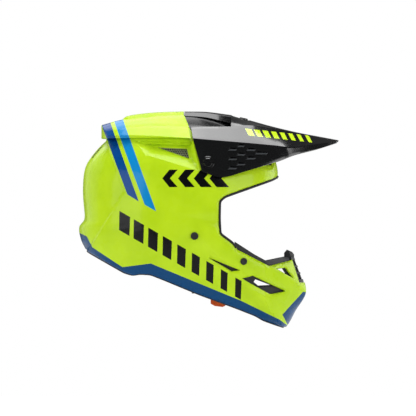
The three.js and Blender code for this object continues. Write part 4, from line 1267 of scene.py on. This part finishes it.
chin_block = layer(
    "chin_foam_block", -7.8, -26, [prism_arrays(CHIN_FOAM, -400, 400)], foam,
    without=[prism_arrays([(109.6, -152.9), (112.4, -148.3), (138.8, -158.5), (118, -159.8)], -400, 400),
             prism_arrays(UPPER_THROUGH, -400, 400), box_arrays((140, -30, -156), (240, 30, -90)),
             prism_arrays(inset(MOUTHPIECE, -0.4), -400, 400)],
)
placed(chin_block, "shell", "foam", "chin_foam")

for side, sign in (("right", -1), ("left", 1)):
    block_piece = new_piece(f"cheek_foam_block_{side}", *shell_form(-8.2), foam)
    carved(block_piece, prism_arrays(CHEEK, *side_range(sign, 67)), "INTERSECT")
    for solid in (hollow_form(0), below_foam, prism_arrays(inset(CHIN_FOAM, -0.4), -400, 400),
                  prism_arrays(inset(MOUTHPIECE, -0.4), -400, 400)):
        carved(block_piece, solid)
    smoothed(block_piece)
    placed(block_piece, "shell", "foam", f"cheek_foam_{side}")

# ---- Comfort liner ----------------------------------------------------------------------------------
# Pads of soft foam under a brushed charcoal knit, piped round their edges. The crown, brow and neck pads
# are clipped in, and the cheek pads snap on studs and pull out inwards.

CHEEK_PAD = [
    (-26, -70), (46, -70), (48, -90), (72, -107), (77, -128), (72, -164), (50, -152), (42, -136), (4, -134),
    (-16, -129), (-31, -122),
]
NECK_PAD = [(-150, -62), (-84, -62), (-52, -122), (-62, -133), (-80, -133), (-150, -96)]


def liner_knit():
    """Brushed polyester knit: ribs of stitches about 1.2 mm apart, soft fuzz, and a light sheen."""
    finish, tree, shader, coords = new_finish(
        "liner_knit",
        **{"Roughness": 0.9, "Sheen Weight": 0.35, "Sheen Roughness": 0.45, "Specular IOR Level": 0.2},
    )
    waves = {"Vector": coords, "Scale": 0.26, "Distortion": 1.5, "Detail": 2.0}
    ribs = node(tree, "TexWave", waves, bands_direction="Z")
    stitches = node(tree, "TexVoronoi", {"Vector": coords, "Scale": 0.85}).outputs["Distance"]
    height = node(tree, "Math", {0: ribs.outputs["Fac"], 1: stitches}, operation="ADD").outputs[0]
    tone = node(tree, "TexNoise", {"Vector": coords, "Scale": 0.05, "Detail": 6.0}).outputs["Fac"]
    mixed = node(tree, "Math", {0: height, 1: 0.25, 2: tone}, operation="MULTIPLY_ADD").outputs[0]
    colour = node(tree, "ValToRGB", {"Fac": mixed})
    colour.color_ramp.elements[0].position, colour.color_ramp.elements[1].position = 0.4, 0.95
    colour.color_ramp.elements[0].color = linear("#202226")
    colour.color_ramp.elements[1].color = linear("#3b3f45")
    tree.links.new(colour.outputs["Color"], shader.inputs["Base Color"])
    bump = node(tree, "Bump", {"Height": height, "Strength": 0.5, "Distance": 0.0005}).outputs["Normal"]
    tree.links.new(bump, shader.inputs["Normal"])
    return finish


knit = liner_knit()
SWELL_CAP = 4.0
SEAM_DEPTH = 1.8
SEAM_SPREAD = 3.6


def stuffed(piece, voxel=4.0, shrink=1.2):
    """Fills a pad: an even mesh, drawn in a little, blown up as cloth, held to a cap, and rounded."""
    even = piece.modifiers.new("even", "REMESH")
    even.mode, even.voxel_size = "VOXEL", voxel * MM
    draw_in = piece.modifiers.new("draw_in", "DISPLACE")
    draw_in.strength, draw_in.mid_level = -shrink * MM, 0
    applied(piece)
    rest = vertex_places(piece)
    cloth = piece.modifiers.new("cloth", "CLOTH")
    cloth.settings.use_pressure = True
    cloth.settings.uniform_pressure_force = 4
    cloth.settings.effector_weights.gravity = 0
    cloth.settings.quality = 5
    for step in range(1, 21):
        bpy.context.scene.frame_set(step)
    applied(piece)
    bpy.context.scene.frame_set(1)
    moved = vertex_places(piece) - rest
    length = np.maximum(np.linalg.norm(moved, axis=1, keepdims=True), 1e-9)
    moved *= np.minimum(1, SWELL_CAP * MM / length)
    piece.data.vertices.foreach_set("co", (rest + moved).ravel())
    piece.data.update()
    finer = piece.modifiers.new("rounded", "SUBSURF")
    finer.levels = finer.render_levels = 1
    applied(piece)
    piece.data.shade_smooth()
    return piece


def vertex_places(piece):
    """A piece's vertices as an array, in metres."""
    places = np.zeros(len(piece.data.vertices) * 3)
    piece.data.vertices.foreach_get("co", places)
    return places.reshape(-1, 3)


def woven(name, dark, light, pitch, sheen):
    """Woven nylon: warp ridges along the strap crossed by finer weft, a few tenths of a millimetre high."""
    finish, tree, shader, coords = new_finish(
        name, **{"Roughness": 0.78, "Sheen Weight": sheen, "Sheen Roughness": 0.4, "Specular IOR Level": 0.3},
    )
    waves = {"Vector": coords, "Scale": 0.31 / pitch}
    warp = node(tree, "TexWave", waves, bands_direction="X").outputs["Fac"]
    weft = node(tree, "TexWave", waves, bands_direction="DIAGONAL").outputs["Fac"]
    height = node(tree, "Math", {0: warp, 1: weft}, operation="MULTIPLY").outputs[0]
    colour = node(tree, "ValToRGB", {"Fac": height})
    colour.color_ramp.elements[0].color = linear(dark)
    colour.color_ramp.elements[1].color = linear(light)
    tree.links.new(colour.outputs["Color"], shader.inputs["Base Color"])
    bump = node(tree, "Bump", {"Height": height, "Strength": 0.6, "Distance": 0.0004}).outputs["Normal"]
    tree.links.new(bump, shader.inputs["Normal"])
    return finish


piping_tape = woven("piping_tape", "#17181a", "#4a4d52", 0.9, 0.3)


def met(piece, origins, ways):
    """Where rays first meet a piece, in millimetres, and the surface's outward directions there."""
    faces = [tuple(face.vertices) for face in piece.data.polygons]
    surface = BVHTree.FromPolygons((vertex_places(piece) / MM).tolist(), faces)
    rays = zip(np.asarray(origins, float), np.asarray(ways, float))
    hits = [surface.ray_cast(origin, way) for origin, way in rays]
    hits = [hit for hit in hits if hit[0] is not None]
    return np.array([hit[0] for hit in hits]), np.array([hit[1] for hit in hits])


def sewn(name, piece, body, origins, ways, closed=False):
    """A piped seam: the pad is drawn in by depth * exp(-(distance / spread)^2), with a cord in the valley."""
    path, out = met(piece, origins, ways)
    path, out = softened(path), softened(out)
    out /= np.linalg.norm(out, axis=1, keepdims=True)
    places = vertex_places(piece) / MM
    gaps = np.linalg.norm(places[:, None] - path[None], axis=2)
    depth = SEAM_DEPTH * np.exp(-(gaps.min(axis=1) / SEAM_SPREAD) ** 2)
    places -= out[gaps.argmin(axis=1)] * depth[:, None]
    piece.data.vertices.foreach_set("co", (places * MM).ravel())
    piece.data.update()
    middle = path - out * SEAM_DEPTH * 0.75
    tube = swept(middle, round_section(2.2, 2.2, 2, 8), closed, up=out)
    cord = new_piece(name, *tube, piping_tape, crease=60)
    return placed(cord, body, "lining")


def pad(name, keep, thickness, body, node_name, outer=-0.6):
    """A pad between the hollow and a thickness inside it, kept inside an outline, then stuffed."""
    piece = new_piece(name, *hollow_form(outer - 0.8), knit)
    carved(piece, keep, "INTERSECT")
    if thickness:
        carved(piece, hollow_form(outer - thickness))
    stuffed(piece)
    placed(piece, body, "lining", node_name)
    return piece


crown_room = prism_arrays([(-140, 8), (-140, 120), (70, 120), (70, 8)], -400, 400)
brow_room = prism_arrays([(71.5, 6.5), (71.5, 60), (140, 60), (140, 8.5), (112, 0.5)], -400, 400)
crown = pad("crown_cushion", crown_room, 9, "shell", "crown_pad")
brow = pad("brow_cushion", brow_room, 9, "shell", "brow_pad")
neck = pad("neck_roll", prism_arrays(NECK_PAD, -400, 400), 12.4, "shell", "neck_pad")
for number, y in enumerate((-34, 34)):
    run = np.arange(-100, 60, 2.0)
    sewn(f"crown_long_seam_{number}", crown, "shell", [(x, y, 10) for x in run], [(0, 0, 1)] * len(run))
for number, x in enumerate((-62, -12, 38)):
    run = np.arange(-56, 57, 2.0)
    sewn(f"crown_cross_seam_{number}", crown, "shell", [(x, y, 10) for y in run], [(0, 0, 1)] * len(run))
for name, piece, centre, middle_turn in (
    ("brow_seam", brow, (30, 0, 31), 0),
    ("neck_seam", neck, (-20, 0, -98), 180),
):
    turns = np.radians(np.arange(middle_turn - 46, middle_turn + 47, 1.5))
    ways = np.stack([np.cos(turns), np.sin(turns), 0 * turns], axis=1)
    sewn(name, piece, "shell", [centre] * len(turns), ways)
for side, sign in (("right", -1), ("left", 1)):
    room = prism_arrays(inset(CHEEK_PAD, 1), *side_range(sign, 57))
    cheek = pad(f"cheek_cushion_{side}", room, 0, f"pad_{side}", f"cheek_pad_{side}")
    rim = spaced(inset(CHEEK_PAD, 6), 2.0)
    across = spaced([(-14, -98), (12, -98), (40, -108), (62, -132)], 2.0, closed=False)
    for name, run, closed in (("piping", rim, True), ("seam", across, False)):
        starts = np.stack([run[:, 0], 0 * run[:, 0], run[:, 1]], axis=1)
        sewn(f"cheek_{name}_{side}", cheek, f"pad_{side}", starts, [(0, sign, 0)] * len(run), closed)

# ---- Ribbons and chin strap -------------------------------------------------------------------------
# Woven nylon webbing 25 mm wide hangs from a steel hanger under each rivet and is buckled through two
# D-rings, with boxes of stitches at its ends and a popper on its tail. Orange ribbons pull the cheek pads.


webbing_black = woven("strap_webbing", "#0b0b0c", "#232426", 1.6, 0.2)
ribbon_orange = woven("pull_ribbon", "#c24a12", "#ea6a22", 1.2, 0.3)
RIBBON_SIDE = 64.0
RIBBON_OUTLINE = [
    (50, -154), (66, -161.8), (68, -176), (68, -188), (64, -190), (52, -188.5), (46, -185), (46, -176),
]

for side, sign in (("right", -1), ("left", 1)):
    middle = RIBBON_SIDE * sign
    tape = prism_arrays(RIBBON_OUTLINE, middle - 0.7, middle + 0.7)
    tab = new_piece(f"pull_ribbon_{side}", *tape, ribbon_orange)
    raised = prism_arrays(inset(RIBBON_OUTLINE, 1.8), middle - 0.9, middle + 0.9)
    carved(tab, joined([raised]), "UNION")
    placed(bevelled(tab, 0.25, 2, 30), f"ribbon_{side}", "ribbon", f"release_ribbon_{side}")

STRAP_WIDTH = 25.0


def strap_at(z, clear):
    """Where the strap's middle runs inside the shell at a height, clear of the wall by a distance."""
    x = 22 + (z + 96) / (-150 + 96) * 8
    sides = side_at([x - STRAP_WIDTH / 2, x + STRAP_WIDTH / 2], [z, z])
    return x, clear + WALL - float(sides.min()), z


def webbing(name, route, finish, body, *nodes):
    """A flat strap: a thin rounded section, its width along X, carried on a smooth route."""
    points = np.asarray(route, float)
    path = lofted(points[:, None].repeat(2, axis=1), 12 * len(points), 1)[:, 0]
    path = resampled(path, 2.0)
    section = round_section(STRAP_WIDTH, 1.7, 8, 28)
    along = np.gradient(path, axis=0) * [0, 1, 1]
    up = np.cross(np.array([1.0, 0, 0]), along / np.linalg.norm(along, axis=1, keepdims=True))
    piece = new_piece(name, *swept(path, section, False, up=up), finish, crease=60)
    return placed(piece, body, "webbing", *nodes)


hang_y = strap_at(-150, 5.9)[1]
for side, sign in (("right", -1), ("left", 1)):
    route = np.array([strap_at(z, 3.3) for z in (-96.5, -112, -128, -143, -151)]) * [1, -sign, 1]
    webbing(f"strap_upper_{side}", route, webbing_black, "shell", f"strap_web_{side}")
right_route = [
    (30, hang_y, -149.5), (30, hang_y + 6, -158), (30, -66, -162.5), (30, -34, -164.6), (30, -12.4, -164.6),
]
ring_end = webbing("strap_ring_end", right_route, webbing_black, "strap", "strap_loop_right")
left_route = [
    (30, -3, -164.6), (30, 34, -164.6), (30, 66, -162.5), (30, -hang_y - 6, -158), (30, -hang_y, -149.5),
]
webbing("strap_free_end", left_route, webbing_black, "strap", "strap_loop_left")
tail_route = [(30, -4, -169.8), (30, 30, -169.4), (30, 66, -167.2)]
tail_end = webbing("strap_tail_end", tail_route, webbing_black, "tail", "strap_tail")


def d_ring(name, y_start, z, node_name):
    """A D-ring: a round rod bent along a straight bar and a bow."""
    bow = np.linspace(0, math.pi, 25)
    curve = np.stack([13.7 * np.cos(bow), 1.3 + 14.4 * np.sin(bow) ** 0.8], axis=1)
    bar = np.stack([np.linspace(-13.7, 13.7, 12)[1:-1], np.full(10, 1.3)], axis=1)
    loop = np.concatenate([curve, bar])
    path = np.stack([30 + loop[:, 0], y_start + loop[:, 1], np.full(len(loop), z)], axis=1)
    rod = swept(path, round_section(2.2, 1.8, 2, 12), True, up=(0, 0, 1))
    piece = new_piece(name, *rod, steel, crease=60)
    return placed(piece, "strap", "steel", node_name)


d_ring("d_ring_upper", -11.4, -161.8, "d_ring_inner")
d_ring("d_ring_lower", -8, -167.3, "d_ring_outer")
popper_at, popper_out = np.array([30, 54, -169.2]), np.array([0, 0.05, -0.9987])
popper = button("tail_popper", popper_at, popper_out, 6, 2.2, 1.5, 0.4, False, plastic)
placed(popper, "tail", "black_plastic", "strap_popper")


def sewn_thread():
    """Bonded polyester thread: grey, with a fine twist."""
    finish, tree, shader, coords = new_finish("sewing_thread", **{"Roughness": 0.55, "Sheen Weight": 0.3})
    twist = node(tree, "TexWave", {"Vector": coords, "Scale": 1.2}, bands_direction="DIAGONAL").outputs["Fac"]
    colour = node(tree, "ValToRGB", {"Fac": twist})
    colour.color_ramp.elements[0].color = linear("#5b5e62")
    colour.color_ramp.elements[1].color = linear("#8f9398")
    tree.links.new(colour.outputs["Color"], shader.inputs["Base Color"])
    return finish


thread = sewn_thread()


def stitched(name, piece, body, corners):
    """Stitches round a rectangle under the strap: a bar of thread from every other point to the next."""
    run = spaced(corners, 1.4)
    below = np.stack([run[:, 0], run[:, 1], 0 * run[:, 0] - 200], axis=1)
    path, out = met(piece, below, [(0, 0, 1)] * len(run))
    count = len(path) // 2
    start, end, out = path[0:2 * count:2], path[1:2 * count:2], out[0:2 * count:2] * 0.3
    across = np.cross(end - start, out)
    across *= 0.35 / np.linalg.norm(across, axis=1, keepdims=True)
    low = [start - across - out, end - across - out, end + across - out, start + across - out]
    points = np.stack([*low, *(corner + 2 * out for corner in low)], axis=1)
    box = np.array([[3, 2, 1, 0], [4, 5, 6, 7], [0, 1, 5, 4], [1, 2, 6, 5], [2, 3, 7, 6], [3, 0, 4, 7]])
    faces = (box[None] + 8 * np.arange(count)[:, None, None]).reshape(-1, 4)
    return placed(new_piece(name, points.reshape(-1, 3), faces.tolist(), thread), body, "webbing")


stitched("ring_end_stitches", ring_end, "strap", [(20.5, -40), (39.5, -40), (39.5, -19), (20.5, -19)])
stitched("tail_stitches", tail_end, "tail", [(20.5, 42), (39.5, 42), (39.5, 63), (20.5, 63)])

# ---- Studio -----------------------------------------------------------------------------------------
# A white floor, soft area lights above, behind and at the corners, and a level view of the right side.


def studio_floor():
    """White card: matt, with a barely uneven tone, lifted to stay pale where the lights fall off."""
    finish, tree, shader, coords = new_finish("white_card", **{"Roughness": 0.9})
    tone = node(tree, "TexNoise", {"Vector": coords, "Scale": 0.002, "Detail": 2.0}).outputs["Fac"]
    colour = node(tree, "ValToRGB", {"Fac": tone})
    colour.color_ramp.elements[0].color = linear("#eeeeee")
    colour.color_ramp.elements[1].color = linear("#f2f2f2")
    tree.links.new(colour.outputs["Color"], shader.inputs["Base Color"])
    seen = node(tree, "LightPath").outputs["Is Camera Ray"]
    lift = node(tree, "Math", {0: seen, 1: 0.85}, operation="MULTIPLY").outputs[0]
    shader.inputs["Emission Color"].default_value = (1, 1, 1, 1)
    tree.links.new(lift, shader.inputs["Emission Strength"])
    return finish


floor_points = np.array([(-3000, -3000, -420), (3000, -3000, -420), (3000, 3000, -420), (-3000, 3000, -420)])
floor = new_piece("floor", floor_points, [[0, 1, 2, 3]], studio_floor())

world = bpy.data.worlds.new("studio")
bpy.context.scene.world = world
world.use_nodes = True
sky = world.node_tree
sky.nodes.clear()
seen = node(sky, "Background", {"Color": (1, 1, 1, 1), "Strength": 1.0})
dim = node(sky, "Background", {"Color": (1, 1, 1, 1), "Strength": 0.1})
direct = node(sky, "LightPath").outputs["Is Camera Ray"]
both = node(sky, "MixShader", {0: direct, 1: dim.outputs[0], 2: seen.outputs[0]})
node(sky, "OutputWorld", {"Surface": both.outputs[0]})


def soft_light(name, place, size, power, target=(0.02, 0, -0.04)):
    """A square area light that looks at the helmet."""
    lamp = bpy.data.lights.new(name, "AREA")
    lamp.size, lamp.energy = size, power
    holder = bpy.data.objects.new(name, lamp)
    holder.location = place
    holder.rotation_euler = (Vector(target) - Vector(place)).to_track_quat("-Z", "Y").to_euler()
    bpy.context.scene.collection.objects.link(holder)


soft_light("above", (0.0, 0.12, 1.5), 1.25, 29)
soft_light("behind_above", (-0.5, 1.5, 1.35), 1.5, 12)
soft_light("front_left", (-1.7, -1.6, 0.5), 1.9, 30)
soft_light("front_right", (2.0, -1.3, 0.5), 1.7, 31)
soft_light("back_left", (-1.9, 1.3, 0.4), 1.9, 9)
soft_light("back_right", (1.9, 1.3, 0.4), 1.5, 14)

FRAME_WIDTH = 0.416 * 1.5
DISTANCE = 9.0
lens = bpy.data.cameras.new("camera")
lens.sensor_width, lens.lens = 36.0, 36.0 * DISTANCE / FRAME_WIDTH
camera = bpy.data.objects.new("camera", lens)
aim = ((208 - 180) * 1.5 * MM, (180 - 208) * 1.5 * MM)
camera.location = (aim[0], -DISTANCE - 0.03, aim[1])
camera.rotation_euler = (math.pi / 2, 0, 0)
bpy.context.scene.collection.objects.link(camera)
bpy.context.scene.camera = camera
bpy.context.scene.view_settings.view_transform = "Standard"

bpy.context.view_layer.update()
